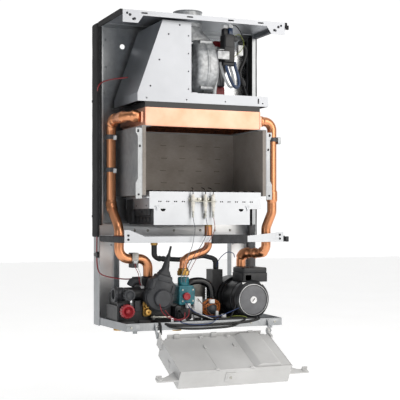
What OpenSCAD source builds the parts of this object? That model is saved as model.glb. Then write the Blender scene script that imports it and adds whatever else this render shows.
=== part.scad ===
// Wall-hung combi boiler shown with its casing off and its control box swung open.
// X runs along the wall, +Y into the wall and +Z up. The origin lies midway between
// the two wall-hook holes, on the rear face. Inside the modules heights are counted
// from the foot of the frame and depths forward from the wall.

/* [Frame] */
// Width of the rear frame
frame_w = 400; // [390:1:430]
// Height of the frame up to the top panel
frame_h = 700; // [692:1:730]
// Depth from the wall to the front of the crossbar
frame_d = 205; // [203:1:215]
// Thickness of the galvanised sheet
sheet_t = 1.2; // [0.8:0.1:1.5]
// Depth of the rear frame's side flanges
side_d = 45; // [38:1:48]
// Height of the shelf under the sealed chamber
shelf_z = 205; // [203:1:208]
// Thickness of the foam seals
seal_t = 6; // [3:0.5:9]

/* [Wall hooks] */
// Distance between the two hook holes
hook_spacing = 260; // [200:5:320]
// Radius of a hook hole
hook_r = 6; // [4:0.5:8]
// Drop of the hook holes below the top of the frame
hook_drop = 45; // [40:1:60]

/* [Flue] */
// Bore radius of the flue collar
flue_r = 30; // [26:0.5:31]
// Wall of the flue collar
flue_wall = 3; // [1.5:0.5:4]
// Height of the collar over the top panel
flue_rise = 28; // [20:1:40]

/* [Combustion] */
// Height of the burner tray over the shelf
burner_gap = 28; // [24:1:30]
// Height of the lower burner box
burner_box_h = 36; // [32:1:38]
// Height of the upper burner bar
burner_bar_h = 38; // [34:1:40]
// Number of burner blades
blade_count = 14; // [8:1:16]
// Height of the combustion chamber jacket
jacket_h = 153; // [145:1:158]
// Thickness of the fibre insulation
fibre_t = 8; // [6:0.5:9]
// Height of the copper heat exchanger
exchanger_h = 41; // [36:1:44]
// Number of exchanger fins
fin_count = 36; // [20:1:44]
// Number of water tubes through the fins
tube_count = 5; // [3:1:5]

/* [Fan] */
// Outer radius of the fan scroll
scroll_r = 66; // [60:0.5:67]
// Width of the fan scroll along its shaft
scroll_w = 58; // [50:1:60]
// Number of impeller blades
vane_count = 20; // [12:1:28]

/* [Pipes] */
// Outer radius of the water pipes
pipe_r = 11; // [9:0.5:11.5]
// Outer radius of the gas pipe
gas_r = 9; // [7:0.5:10]

/* [Pump] */
// Radius of the pump motor can
pump_r = 45; // [40:0.5:46]
// Radius of the light ring on the pump face
pump_face_r = 35; // [30:0.5:38]

/* [Control box] */
// Width of the control box
control_w = 260; // [240:1:262]
// Length of the control box from its hinge to its far edge
control_l = 136; // [128:1:145]
// Thickness of the control box
control_t = 46; // [40:1:50]
// Angle by which the box hangs open from upright
control_open = 116; // [90:1:120]
// Radius of the hinge pins
hinge_pin_r = 2.5; // [2:0.1:3]
// Running clearance of the hinge pins
hinge_clear = 0.05; // [0.02:0.01:0.1]

/* [Hidden] */
$fn = 48;

// Shared allowances
gap = 0.3;
over = 1;

// Colours
zinc = [0.62, 0.63, 0.64];
white_steel = [0.93, 0.93, 0.93];
foam_black = [0.1, 0.1, 0.1];
copper = [0.85, 0.5, 0.3];
brass = [0.78, 0.6, 0.3];
fibre_grey = [0.5, 0.47, 0.43];
black_plastic = [0.12, 0.12, 0.13];
dark_plastic = [0.22, 0.22, 0.23];
light_plastic = [0.82, 0.82, 0.81];
cast_alu = [0.7, 0.7, 0.7];
steel = [0.72, 0.73, 0.74];

// Frame
half_w = frame_w / 2;
hook_z = frame_h - hook_drop;
wall_top = frame_h - sheet_t;
lip_w = 9;
strip_w = 56;
strip_in = half_w - strip_w;
strip_low = 53;
return_d = 22;
slot_r = 3;
slot_l = 14;
slot_inset = 27;
slot_heights = [100, 140, 178];
pilot_r = 2;
pilot_pitch = 90;
pilot_inset = 14;
panel_hw = half_w - 3;
panel_lip = 11;
ear_h = 28;
ear_w = 35;
ear_slope = 12;
ear_hole_r = 2.6;
ear_hole_in = 10;
ear_hole_low = 8;
shelf_hw = half_w - 8;
shelf_lip = 28;
shelf_skirt = 11;
shelf_corner = 18;
bar_low = 11;
bar_high = 3;
bar_hw = half_w - 7;
bar_foot = 14;
gusset_w = 47;
gusset_h = 17;
gusset_far_w = 92;
gusset_far_h = 12;
bar_hole_in = 9;
bar_hole_gap = 9;
pad_w = 7;
pad_over = 3;
pad_clip_x = 13;
pad_clip_w = 87;
pad_clip_t = 4;

// Bottom frame
rail_low = 2;
rail_h = 17;
rail_x = half_w - 11;
rail_root = 10;
tray_t = sheet_t;
stud_r = 5;
stud_l = 6;
stud_in = 24;
stud_back = 12;
beam_hole_r = 2.6;
beam_hole_in = 12;
beam_hole_gap = 14;

// Flue collar and its place
flue_x = -3;
flue_d = 100;
flue_out = flue_r + flue_wall;
flue_flange = 7;
flue_flange_t = 2;
bead_r = 1.5;

// Combustion stack, counted up from the shelf
chamber_x = 4.5;
jacket_hw = 152.5;
jacket_t = 1.5;
jacket_back = 18;
jacket_front = 190;
jacket_lip = 22;
burner_z = shelf_z + burner_gap;
bar_z = burner_z + burner_box_h;
burner_top = bar_z + burner_bar_h;
jacket_z = burner_top - 8;
jacket_top = jacket_z + jacket_h;
exchanger_hw = 140.5;
exchanger_x = 2.5;
exchanger_back = 25;
exchanger_front = 185;
exchanger_z = jacket_top;
exchanger_t = 1.2;
exchanger_top = exchanger_z + exchanger_h;
fin_t = 0.8;
fin_rise = 5;
tube_r = 7;
tube_ends = 10;
tube_inset = 13;
header_t = 7;
header_h = 24;
header_d0 = 120;
header_d1 = 180;
skirt_h = 13;
skirt_t = 1.5;
hood_z = exchanger_top + skirt_h;
hood_back = 20;
hood_front = 185;
hood_left = -156;
hood_right = 164;
hood_base_h = 23;
hood_tower_right = -28.5;
hood_tower_left = -97;
hood_top = frame_h - 12;
hood_shoulder = 18;
hood_t = 1.2;
hood_hole_r = 1.6;
hood_hole_in = 7;
hood_port_r = 34;

// Chamber brackets
bracket_w = 9;
bracket_t = 2;
bracket_foot_w = 14;
bracket_top = 6;
bracket_low = 8;
bracket_step_share = 0.28;
bracket_hole_r = 2.2;

// Burner
burner_x = 4;
burner_hw = 136;
burner_front = 195;
burner_back = 35;
burner_wall = 1.5;
port_r = 1.6;
port_pairs = 13;
port_pitch = 18.6;
port_gap = 4.5;
port_rise = 16;
hook_w = 7;
hook_t = 2;
hook_rise = 14;
shield_left = -122;
shield_right = 112;
shield_notch_r = 6;
shield_notch_x = 22;
shield_slot_w = 3;
shield_slot_h = 13;
shield_slot_x = -2;
shield_rib_h = 3;
blade_w = 9;
blade_rise = 3;
blade_slot_w = 1.6;
manifold_r = 8;
manifold_d = 150;
jet_r = 2.5;
jet_l = 8;
gas_x = 28;
gas_d = 150;

// Electrodes
electrode_xs = [-32, -2, 17];
ceramic_r = 4;
ceramic_l = 22;
rod_r = 1.2;
rod_l = 14;
plate_t = 1.5;
plate_h = 8;
plate_low = 14;
plate_out = 6;
lead_r = 1.2;

// Fan
fan_x = -10;
fan_d = 112;
fan_z = frame_h - 103;
scroll_wall = 3;
scroll_seam = 2;
scroll_seam_w = 3;
scroll_offset = 6;
inlet_r = 30;
duct_w = 50;
duct_base = 52;
impeller_r = 50;
impeller_w = 36;
impeller_disc = 2;
vane_t = 1.5;
vane_depth = 12;
vane_lean = 35;
shaft_r = 4;
shaft_clear = 0.06;
hub_r = 10;
boss_n = 6;
boss_r = 4;
motor_r = 31;
motor_l = 30;
motor_cap_r = 22;
motor_cap_l = 8;
coil_w = 24;
coil_h = 20;
coil_out = 6;
arm_w = 22;
arm_h = 12;
arm_t = 2;
switch_x0 = 54;
switch_x1 = 84;
switch_d0 = 146;
switch_d1 = 174;
switch_low = 94;
switch_high = 30;
switch_cap = 6;
switch_spigot_r = 3;
switch_spigot_l = 8;
switch_spigot_gap = 14;
switch_plug_w = 12;
switch_plug_h = 8;
switch_spigot_in = 8;
switch_tap_w = 12;
switch_tap_h = 10;
hose_r = 3;

// Water and gas pipes: routes by round points, depth counted forward from the wall
flow_route = [[-145, 160, 474], [-172, 160, 474], [-174, 52, 474], [-174, 52, 275],
              [-174, 110, 226], [-174, 110, 156], [-105, 110, 156], [-105, 110, 116]];
flow_bends = [22, 26, 26, 26, 24, 22];
return_route = [[152, 160, 474], [186, 160, 474], [186, 160, 262], [173, 155, 226],
                [173, 155, 166], [136, 96, 166], [136, 96, 134]];
return_bends = [20, 22, 26, 20, 18];
gas_route = [[28, 150, 229], [28, 150, 176], [-34, 150, 156], [-34, 150, 120]];
gas_bends = [22, 22];
pipe_sides = 20;
hose_sides = 12;
bend_steps = 6;

// Clips on the pipes
clip_h = 10;
clip_t = 2.5;
clip_tail = 16;
flow_clip_share = 0.78;
flow_clip_low_share = 0.4;
return_clip_share = 0.78;
sensor_w = 14;
sensor_h = 9;
nut_h = 9;
grommet_h = 6;
grommet_t = 4;

// Hydraulic group
block_x0 = -190;
block_x1 = -62;
block_d0 = 66;
block_d1 = 146;
block_z0 = rail_low + tray_t;
block_core_h = 50;
block_tower_w = 46;
block_tower_h = 60;
barrel_r = 15;
relief_x = -174;
relief_z = 42.5;
relief_r = 16;
relief_l = 26;
relief_teeth = 12;
fill_x = -168;
fill_z = 78;
fill_r = 13.5;
fill_l = 20;
fill_teeth = 16;
stem_r = 4;
stem_l = 10;
stem_clear = 0.06;
actuator_x = -98;
actuator_z = 74;
actuator_r = 32;
actuator_cap_r = 21;
actuator_l = 30;
actuator_cap_l = 8;
actuator_tilt = 15;
actuator_head_w = 46;
actuator_head_h = 34;
boot_w = 26;
boot_top_r = 3;
boot_h = 62;
cable_r = 2.5;
cable_l = 16;
spool_r = 7;
spool_l = 34;
spool_travel = 8;
spool_clear = 0.06;
plate_x0 = -60;
plate_x1 = 60;
plate_d0 = 14;
plate_d1 = 60;
plate_z0 = 22;
plate_z1 = 92;
plate_n = 12;
plate_groove = 1.2;
valve_x0 = -60;
valve_x1 = -8;
valve_d0 = 100;
valve_d1 = 166;
valve_low = 18;
valve_mid = 58;
valve_high = 100;
valve_cap_r = 17;
valve_knob_r = 10;
valve_knob_l = 12;
valve_knob_x = -34;
valve_knob_z = 72;
valve_plate_w = 20;
valve_plate_t = 2;
sensor_x = 32;
sensor_z = 42;
sensor_r = 18;
sensor_d0 = 110;
sensor_d1 = 156;
pump_x = 119;
pump_z = 61.6;
pump_back = 112;
pump_front = 196;
pump_face_l = 5;
pump_ring = 4;
volute_r = 50;
volute_d0 = 66;
volute_rim = 9;
volute_foot_w = 64;
volute_arm_x = 72;
volute_arm_w = 26;
rotor_r = 34;
rotor_w = 14;
rotor_vanes = 6;
rotor_clear = 3;
term_x0 = 98;
term_x1 = 161;
term_d0 = 128;
term_d1 = 188;
term_h = 33;
vent_r = 8;
vent_l = 6;
vent_slot = 1.6;
union_xs = [-163, -100, valve_x0 + valve_cap_r, 70, 140];
union_rs = [13.2, 10.5, 10.5, 10.5, 13.2];
union_ds = [78, 78, 133, 78, 78];
union_low = 8;
union_bore_share = 0.68;
union_clear = 2;

// Control box, drawn upright and then swung open about its hinge
hinge_d = 216;
hinge_z = -8;
control_x = 15;
control_x0 = control_x - control_w / 2;
control_x1 = control_x + control_w / 2;
control_wall = 2.2;
control_base = 9;
control_back = 2;
cover_t = 2.2;
cover_rise = 6;
cover_slope = 12;
cover_step_share = 0.66;
cover_lip = 7;
ear_r = 7;
ear_t = 5;
ear_gap = 0.6;
lug_t = 3;
latch_reach = 48;
latch_w = 13;
latch_t = 3;
latch_foot = 14;
latch_drop = 6;
knob_r = 18;
knob_l = 14;
knob_teeth = 24;
knob_grip = 3;
knob_up = 62;
knob_xs = [-42, 18];
spindle_r = 3;
spindle_clear = 0.06;
gauge_r = 19;
gauge_x = 92;
gauge_l = 18;
bezel_t = 2;
needle_w = 1.2;
board_t = 1.6;
board_in = 8;
board_up = 14;
post_r = 3;

// Wires
wire_sides = 8;
sense_route = [[-150, 100, 568], [-172, 60, 562], [-196, 50, 545], [-204, 50, 510], [-206, 50, 420],
               [-206, 50, 320], [-206, 50, 225], [-205, 50, 165], [-196, 60, 140], [-170, 90, 122],
               [-146, 108, 112], [-140, 110, 111], [-128, 110, 111]];
sense_r = 1.5;
lead_a = [[-32, 203, 261], [-32, 204, 248], [-31, 212, 225], [-34, 213, 205], [-38, 212, 185],
          [-44, 205, 165], [-48, 195, 140]];
lead_b = [[-2, 203, 261], [-1, 204, 248], [-1, 212, 225], [-7, 213, 205], [-18, 212, 185],
          [-30, 205, 165], [-42, 195, 140]];
lead_c = [[17, 203, 261], [18, 204, 248], [17, 212, 225], [8, 213, 205], [-6, 212, 185],
          [-20, 205, 165], [-36, 195, 140]];
loom_a = [[-150, 180, 6.5], [-120, 186, 6.5], [-90, 188, 6.5], [-60, 189, 6.5], [-20, 190, 6.5],
          [20, 190, 6.5], [60, 189, 6.5], [80, 186, 6.5]];
loom_b = [[-50, 166, 40], [-50, 176, 40], [-45, 186, 26], [-30, 191, 15], [-10, 192, 12.8],
          [20, 191, 12.8], [46, 188, 12.8], [62, 176, 10]];
loom_r = 3;

// A child placed with its height counted from the foot of the frame
module seat() translate([0, 0, -hook_z]) children();

// Block between two corners given as across, depth and height
module slab(a, b)
  translate([a[0], -b[1], a[2]]) cube([b[0] - a[0], b[1] - a[1], b[2] - a[2]]);

// Sheet in the plane of the wall, its front face at the depth d
module front_sheet(outline, d, t)
  translate([0, t - d, 0]) rotate([90, 0, 0]) linear_extrude(t) polygon(outline);

// Sheet across the wall, its right face at x, outline as depth and height
module side_sheet(outline, x, t)
  translate([x, 0, 0]) rotate([90, 0, -90]) linear_extrude(t) polygon(outline);

// Flat sheet with its lower face at z, outline as across and depth
module floor_sheet(outline, z, t)
  translate([0, 0, z]) mirror([0, 1, 0]) linear_extrude(t) polygon(outline);

// Children drawn along +Z come out forward from the depth d
module face_out(x, d, z) translate([x, -d, z]) rotate([90, 0, 0]) children();

// Children drawn along +Z come out along +X
module face_right(x, d, z) translate([x, -d, z]) rotate([0, 90, 0]) children();

// Hole through a sheet that faces forward
module front_hole(x, d, z, r, l) face_out(x, d - l / 2, z) cylinder(r = r, h = l);

// Upright slot through a sheet that faces forward
module front_slot(x, d, z, r, l, t) {
  front_hole(x, d, z - l / 2, r, t);
  front_hole(x, d, z + l / 2, r, t);
  slab([x - r, d - t / 2, z - l / 2], [x + r, d + t / 2, z + l / 2]);
}

// Vector helpers
function unit(v) = v / norm(v);
function yz(p) = [p[0], -p[1], p[2]];
function dot(a, b) = a[0] * b[0] + a[1] * b[1] + a[2] * b[2];
function turn(a, b) = acos(max(-1, min(1, dot(a, b))));
function clip_len(pts, bends, i) =
  (i == 0 || i == len(pts) - 1) ? 0
  : bends[i - 1] * tan(turn(unit(pts[i] - pts[i - 1]), unit(pts[i + 1] - pts[i])) / 2);

// Directions turned as little as possible from ring to ring
function carry(dirs, i, s) =
  i >= len(dirs) ? [] : let (t = unit(s - dot(s, dirs[i]) * dirs[i])) concat([t], carry(dirs, i + 1, t));
function start_side(d) = unit(cross(d, abs(d[2]) < 0.7 ? [0, 0, 1] : [1, 0, 0]));

// Closed round skin through the points, each ring square to its direction
module skin(pts, dirs, r, sides) {
  n = len(pts);
  across = carry(dirs, 0, start_side(dirs[0]));
  rings = [for (i = [0 : n - 1], k = [0 : sides - 1])
    pts[i] + r * (cos(360 * k / sides) * across[i] + sin(360 * k / sides) * cross(dirs[i], across[i]))];
  walls = [for (i = [0 : n - 2], k = [0 : sides - 1])
    let (a = i * sides + k, b = i * sides + (k + 1) % sides) each [[a, a + sides, b + sides], [a, b + sides, b]]];
  first = [for (k = [0 : sides - 1]) k];
  last = [for (k = [sides - 1 : -1 : 0]) (n - 1) * sides + k];
  polyhedron(points = rings, faces = concat([first], walls, [last]), convexity = 6);
}

// Pipe bent along a route of points, with a radius for each inner corner
function arc_at(pts, bends, i, steps) =
  let (d = unit(pts[i] - pts[i - 1]), e = unit(pts[i + 1] - pts[i]), m = unit(e - dot(d, e) * d),
    start = pts[i] - clip_len(pts, bends, i) * d, mid = start + bends[i - 1] * m, whole = turn(d, e))
  [for (k = [0 : steps]) let (f = whole * k / steps)
    [mid + bends[i - 1] * (sin(f) * d - cos(f) * m), cos(f) * d + sin(f) * m]];
module bent_pipe(route, bends, r, sides, steps) {
  pts = [for (p = route) yz(p)];
  n = len(pts);
  stations = concat([[pts[0], unit(pts[1] - pts[0])]],
    [for (i = [1 : n - 2]) each arc_at(pts, bends, i, steps)],
    [[pts[n - 1], unit(pts[n - 1] - pts[n - 2])]]);
  skin([for (q = stations) q[0]], [for (q = stations) q[1]], r, sides);
}

// Round wire through its own points
function mean_dir(pts, i) =
  i == 0 ? unit(pts[1] - pts[0])
  : i == len(pts) - 1 ? unit(pts[i] - pts[i - 1])
  : unit(unit(pts[i] - pts[i - 1]) + unit(pts[i + 1] - pts[i]));
module wire(route, r) {
  pts = [for (p = route) yz(p)];
  skin(pts, [for (i = [0 : len(pts) - 1]) mean_dir(pts, i)], r, wire_sides);
}

// Grip with teeth round its rim, along +Z
module toothed(r, l, teeth, depth) {
  cylinder(r = r - depth, h = l);
  for (i = [0 : teeth - 1]) rotate(360 * i / teeth)
    translate([r - 2 * depth, -depth / 2, 0]) cube([2 * depth, depth, l]);
}

// Rear frame: back plate with two legs, side flanges with lips and wall holes
module rear_frame() color(zinc) seat() difference() {
  union() {
    front_sheet([[-half_w, strip_low], [-strip_in, strip_low], [-strip_in, shelf_z],
      [strip_in, shelf_z], [strip_in, strip_low], [half_w, strip_low],
      [half_w, wall_top], [-half_w, wall_top]], sheet_t, sheet_t);
    for (s = [0, 1]) mirror([s, 0, 0]) {
      slab([half_w - sheet_t, 0, 0], [half_w, side_d, wall_top]);
      slab([half_w - lip_w, side_d - sheet_t, shelf_z + shelf_lip], [half_w, side_d, wall_top]);
      slab([strip_in, 0, strip_low], [strip_in + sheet_t, return_d, shelf_z]);
    }
    slab([-half_w, 0, wall_top - sheet_t], [half_w, side_d, wall_top]);
  }
  for (s = [-1, 1]) {
    front_hole(s * hook_spacing / 2, 0, hook_z, hook_r, 4 * sheet_t);
    for (z = slot_heights) front_slot(s * (half_w - slot_inset), 0, z, slot_r, slot_l, 4 * sheet_t);
    for (z = [shelf_z + pilot_pitch : pilot_pitch : wall_top - pilot_pitch / 2])
      front_hole(s * (half_w - pilot_inset), 0, z, pilot_r, 4 * sheet_t);
  }
}

// Top panel: pressed lid with a front flange, two holed ears and the flue hole
module top_panel() color(white_steel) seat() difference() {
  union() {
    floor_sheet([[-panel_hw, 0], [panel_hw, 0], [panel_hw, frame_d], [-panel_hw, frame_d]],
      wall_top, sheet_t);
    front_sheet([[-panel_hw, frame_h], [-panel_hw, frame_h - ear_h], [ear_w - panel_hw, frame_h - ear_h],
      [ear_w + ear_slope - panel_hw, frame_h - panel_lip], [panel_hw - ear_w - ear_slope, frame_h - panel_lip],
      [panel_hw - ear_w, frame_h - ear_h], [panel_hw, frame_h - ear_h], [panel_hw, frame_h]],
      frame_d, sheet_t);
    for (s = [0, 1]) mirror([s, 0, 0])
      side_sheet([[side_d, frame_h - panel_lip], [frame_d, frame_h - panel_lip], [frame_d, frame_h],
        [side_d, frame_h]], panel_hw, sheet_t);
  }
  translate([flue_x, -flue_d, wall_top - over]) cylinder(r = flue_out + gap, h = sheet_t + 2 * over);
  for (s = [-1, 1]) {
    front_hole(s * (panel_hw - ear_hole_in), frame_d, frame_h - ear_hole_low, ear_hole_r, 4 * sheet_t);
    front_hole(s * (panel_hw - 2.4 * ear_hole_in), frame_d, frame_h - 2.5 * ear_hole_low, ear_hole_r, 4 * sheet_t);
  }
}

// Flue collar: spigot with a rolled rim and a flange that lies on the top panel
module flue_collar() color(cast_alu) seat() translate([flue_x, -flue_d, 0]) difference() {
  union() {
    translate([0, 0, hood_top + flue_flange_t]) cylinder(r = flue_out, h = frame_h - hood_top + flue_rise - flue_flange_t);
    translate([0, 0, frame_h]) cylinder(r = flue_out + flue_flange, h = flue_flange_t);
    translate([0, 0, frame_h + flue_rise - bead_r]) rotate_extrude() translate([flue_out, 0]) circle(bead_r);
  }
  translate([0, 0, hood_top]) cylinder(r = flue_r, h = frame_h - hood_top + flue_rise + over);
}

// Foam seal with a bulging outer side, drawn on the right
module side_seal() seat() translate([half_w, 0, shelf_z]) linear_extrude(wall_top - shelf_z) intersection() {
  translate([0, -side_d]) square([seal_t, side_d]);
  translate([seal_t - side_d * seal_round_share, -side_d / 2]) circle(side_d * seal_round_share, $fn = 96);
}
seal_round_share = 0.9;
module side_seal_left() color(foam_black) mirror([1, 0, 0]) side_seal();
module side_seal_right() color(foam_black) side_seal();

// Foam strips along both sides of the top panel
module top_seal() color(foam_black) seat() for (s = [0, 1]) mirror([s, 0, 0])
  side_sheet([[side_d + gap, frame_h - panel_lip], [frame_d, frame_h - panel_lip], [frame_d, frame_h],
    [side_d + gap, frame_h]], panel_hw + seal_t, seal_t);

// Shelf: floor of the sealed chamber with its rear lip and the pipe holes
module shelf() color(zinc) seat() difference() {
  union() {
    floor_sheet([[-shelf_hw, sheet_t], [shelf_hw, sheet_t], [shelf_hw, frame_d - sheet_t],
      [-shelf_hw, frame_d - sheet_t]], shelf_z, sheet_t);
    front_sheet([[-shelf_hw, shelf_z], [shelf_hw, shelf_z], [shelf_hw, shelf_z + shelf_lip],
      [shelf_corner - shelf_hw, shelf_z + shelf_lip], [-shelf_hw, shelf_z + shelf_lip - shelf_corner]],
      2 * sheet_t, sheet_t);
    for (s = [0, 1]) mirror([s, 0, 0])
      slab([shelf_hw - sheet_t, side_d, shelf_z - shelf_skirt], [shelf_hw, frame_d - sheet_t, shelf_z]);
  }
  for (p = [[flow_route[4], pipe_r], [return_route[3], pipe_r], [gas_route[0], gas_r], [hose_top, hose_pipe_r]])
    translate([p[0][0], -p[0][1], shelf_z - over]) cylinder(r = p[1] + grommet_t, h = sheet_t + 2 * over);
  for (i = [-2 : 2]) front_hole(i * shelf_hole_pitch, sheet_t, shelf_z + shelf_lip / 2, pilot_r, 8 * sheet_t);
}
shelf_hole_pitch = 62;

// Crossbar: folded front bar with a gusset at each end
module crossbar() color(white_steel) seat() difference() {
  union() {
    front_sheet([[-bar_hw, shelf_z - bar_low], [bar_hw, shelf_z - bar_low], [bar_hw, shelf_z + gusset_far_h],
      [bar_hw - gusset_far_w, shelf_z + bar_high], [gusset_w - bar_hw, shelf_z + bar_high],
      [gusset_w / 4 - bar_hw, shelf_z + gusset_h], [-bar_hw, shelf_z + gusset_h]], frame_d, sheet_t);
    slab([sheet_t - shelf_hw, frame_d - bar_foot, shelf_z - bar_low], [shelf_hw - sheet_t, frame_d, shelf_z - bar_low + sheet_t]);
  }
  for (s = [-1, 1], k = [0, 1])
    front_hole(s * (bar_hw - bar_hole_in), frame_d, shelf_z - bar_low / 3 + k * bar_hole_gap, pilot_r, 4 * sheet_t);
}

// Foam strips beside the shelf and the foam clip over the crossbar
module foam_pads() color(dark_plastic) seat() {
  for (s = [0, 1]) mirror([s, 0, 0])
    slab([shelf_hw, side_d + gap, shelf_z - bar_low], [shelf_hw + pad_w, frame_d - sheet_t - gap, shelf_z + bar_high]);
  slab([pad_clip_x, frame_d, shelf_z - bar_low - pad_over],
    [pad_clip_x + pad_clip_w, frame_d + pad_clip_t, shelf_z + bar_high + pad_over]);
  slab([pad_clip_x, frame_d - pad_w, shelf_z + bar_high],
    [pad_clip_x + pad_clip_w, frame_d, shelf_z + bar_high + pad_over]);
  slab([pad_clip_x, frame_d - pad_w, shelf_z - bar_low - pad_over],
    [pad_clip_x + pad_clip_w, frame_d, shelf_z - bar_low]);
}

// Bottom frame: splayed side rails, front beam, tray floor, studs and hinge lugs
module bottom_frame() color(zinc) seat() {
  rail_top = rail_low + rail_h;
  inner = half_w - sheet_t;
  difference() {
    union() {
      for (s = [0, 1]) mirror([s, 0, 0])
        floor_sheet([[inner, rail_root], [inner, side_d], [rail_x, frame_d], [rail_x - sheet_t, frame_d],
          [inner - sheet_t, side_d], [inner - sheet_t, rail_root]], rail_low, rail_h);
      slab([-rail_x, frame_d - sheet_t, rail_low], [rail_x, frame_d, rail_top]);
      floor_sheet([[-inner, rail_root], [inner, rail_root], [inner, side_d], [rail_x, frame_d],
        [-rail_x, frame_d], [-inner, side_d]], rail_low, tray_t);
      for (s = [-1, 1], d = [side_d + stud_back, frame_d - stud_back])
        translate([s * (rail_x - stud_in), -d, rail_low - stud_l]) cylinder(r = stud_r, h = stud_l);
    }
    for (i = [0 : len(union_xs) - 1])
      translate([union_xs[i], -union_ds[i], rail_low - over])
        cylinder(r = union_rs[i] + union_clear, h = tray_t + 2 * over);
    for (s = [-1, 1], k = [0, 1])
      front_hole(s * (rail_x - beam_hole_in - k * beam_hole_gap), frame_d, rail_low + rail_h / 2, beam_hole_r, 4 * sheet_t);
  }
  for (e = [[control_x0 - ear_t - ear_gap, 1], [control_x1 + ear_t + ear_gap, -1]])
    translate([e[0], 0, 0]) mirror([e[1] < 0 ? 1 : 0, 0, 0]) {
      side_sheet([[frame_d, rail_low], [hinge_d, hinge_z - ear_r], [hinge_d + ear_r, hinge_z],
        [hinge_d, hinge_z + ear_r], [frame_d, rail_top]], 0, lug_t);
      face_right(0, hinge_d, hinge_z) cylinder(r = hinge_pin_r, h = ear_t + ear_gap);
    }
}

// Flue hood: base box with a leaning tower, one folded steel shell open below
hood_outline = [[hood_left, hood_z], [hood_right, hood_z], [hood_right, hood_z + hood_base_h],
  [hood_tower_right, hood_z + hood_base_h], [hood_tower_right, hood_top],
  [hood_tower_left, hood_top], [hood_left, hood_z + hood_shoulder]];
hood_inside = [[hood_left + hood_t, hood_z - over], [hood_right - hood_t, hood_z - over],
  [hood_right - hood_t, hood_z + hood_base_h - hood_t],
  [hood_tower_right - hood_t, hood_z + hood_base_h - hood_t], [hood_tower_right - hood_t, hood_top - hood_t],
  [hood_tower_left + hood_t, hood_top - hood_t], [hood_left + hood_t, hood_z + hood_shoulder]];
module flue_hood() color(white_steel) seat() difference() {
  union() {
    front_sheet(hood_outline, hood_front, hood_front - hood_back);
    slab([hood_left, sheet_t, hood_z], [hood_left + hood_foot, hood_back, hood_z + hood_t]);
    slab([hood_right - hood_foot, sheet_t, hood_z], [hood_right, hood_back, hood_z + hood_t]);
  }
  front_sheet(hood_inside, hood_front - hood_t, hood_front - hood_back - 2 * hood_t);
  face_right(hood_tower_right - 2 * hood_t, fan_d, fan_z) cylinder(r = hood_port_r, h = 4 * hood_t);
  for (k = [0 : 3]) {
    front_hole(hood_tower_right - hood_hole_in, hood_front, hood_z + hood_base_h + (0.2 + k) * (hood_top - hood_z - hood_base_h) / 4, hood_hole_r, 4 * hood_t);
    front_hole(hood_left + 3 * hood_hole_in + k * (hood_right - hood_left - 5 * hood_hole_in) / 3, hood_front, hood_z + hood_hole_in, hood_hole_r, 4 * hood_t);
  }
}
hood_foot = 30;

// Black band between the exchanger and the hood
module hood_skirt() color(black_plastic) seat() difference() {
  slab([exchanger_x - exchanger_hw, exchanger_back, exchanger_top],
    [exchanger_x + exchanger_hw, exchanger_front - skirt_t, hood_z]);
  slab([exchanger_x - exchanger_hw + skirt_t, exchanger_back + skirt_t, exchanger_top - over],
    [exchanger_x + exchanger_hw - skirt_t, exchanger_front - 2 * skirt_t, hood_z + over]);
}

// Copper shell round the fins with a water header on each end
module exchanger_shell() color(copper) seat() {
  difference() {
    slab([exchanger_x - exchanger_hw, exchanger_back, exchanger_z],
      [exchanger_x + exchanger_hw, exchanger_front, exchanger_top]);
    slab([exchanger_x - exchanger_hw + exchanger_t, exchanger_back + exchanger_t, exchanger_z - over],
      [exchanger_x + exchanger_hw - exchanger_t, exchanger_front - exchanger_t, exchanger_top + over]);
  }
  for (s = [-1, 1]) {
    x = exchanger_x + s * exchanger_hw;
    slab([min(x, x + s * header_t), exchanger_back + header_t, exchanger_z + header_t],
      [max(x, x + s * header_t), exchanger_front - header_t, exchanger_z + header_t + header_h]);
  }
}

// Pack of fins on the water tubes
module exchanger_fins() color(copper) seat() {
  inner = exchanger_hw - exchanger_t - gap;
  back = exchanger_back + exchanger_t + gap;
  front = exchanger_front - exchanger_t - gap;
  pitch = 2 * (inner - fin_rise) / (fin_count - 1);
  mid = exchanger_z + exchanger_h / 2;
  for (i = [0 : fin_count - 1])
    slab([exchanger_x - inner + fin_rise + i * pitch - fin_t / 2, back, exchanger_z + fin_t],
      [exchanger_x - inner + fin_rise + i * pitch + fin_t / 2, front, exchanger_top - fin_t]);
  for (k = [0 : tube_count - 1])
    face_right(exchanger_x - inner, back + tube_inset + k * (front - back - 2 * tube_inset) / (tube_count - 1), mid)
      cylinder(r = tube_r, h = 2 * inner);
}

// Chamber jacket: folded steel walls open to the front, with a rim for the exchanger
module chamber_jacket() color(zinc) seat() {
  x0 = chamber_x - jacket_hw;
  x1 = chamber_x + jacket_hw;
  difference() {
    slab([x0, jacket_back, jacket_z], [x1, jacket_front, jacket_top]);
    slab([x0 + jacket_t, jacket_back + jacket_t, jacket_z - over], [x1 - jacket_t, jacket_front + over, jacket_top - jacket_t]);
    slab([x0 + jacket_lip, jacket_back + jacket_lip, jacket_z - over], [x1 - jacket_lip, jacket_front + over, jacket_top + over]);
  }
  for (x = [x0, x1 - jacket_t])
    slab([x, sheet_t, jacket_z], [x + jacket_t, jacket_back, jacket_top]);
}

// Two fibre side panels
module insulation_sides() color(fibre_grey) seat() for (s = [-1, 1]) {
  x = chamber_x + s * (jacket_hw - jacket_t);
  slab([min(x, x - s * fibre_t), jacket_back + jacket_t, jacket_z],
    [max(x, x - s * fibre_t), jacket_front, jacket_top - jacket_t]);
}

// Fibre panel on the back wall
module insulation_back() color(fibre_grey) seat()
  slab([chamber_x - jacket_hw + jacket_t + fibre_t, jacket_back + jacket_t, jacket_z],
    [chamber_x + jacket_hw - jacket_t - fibre_t, jacket_back + jacket_t + fibre_t, jacket_top - jacket_t]);

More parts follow.
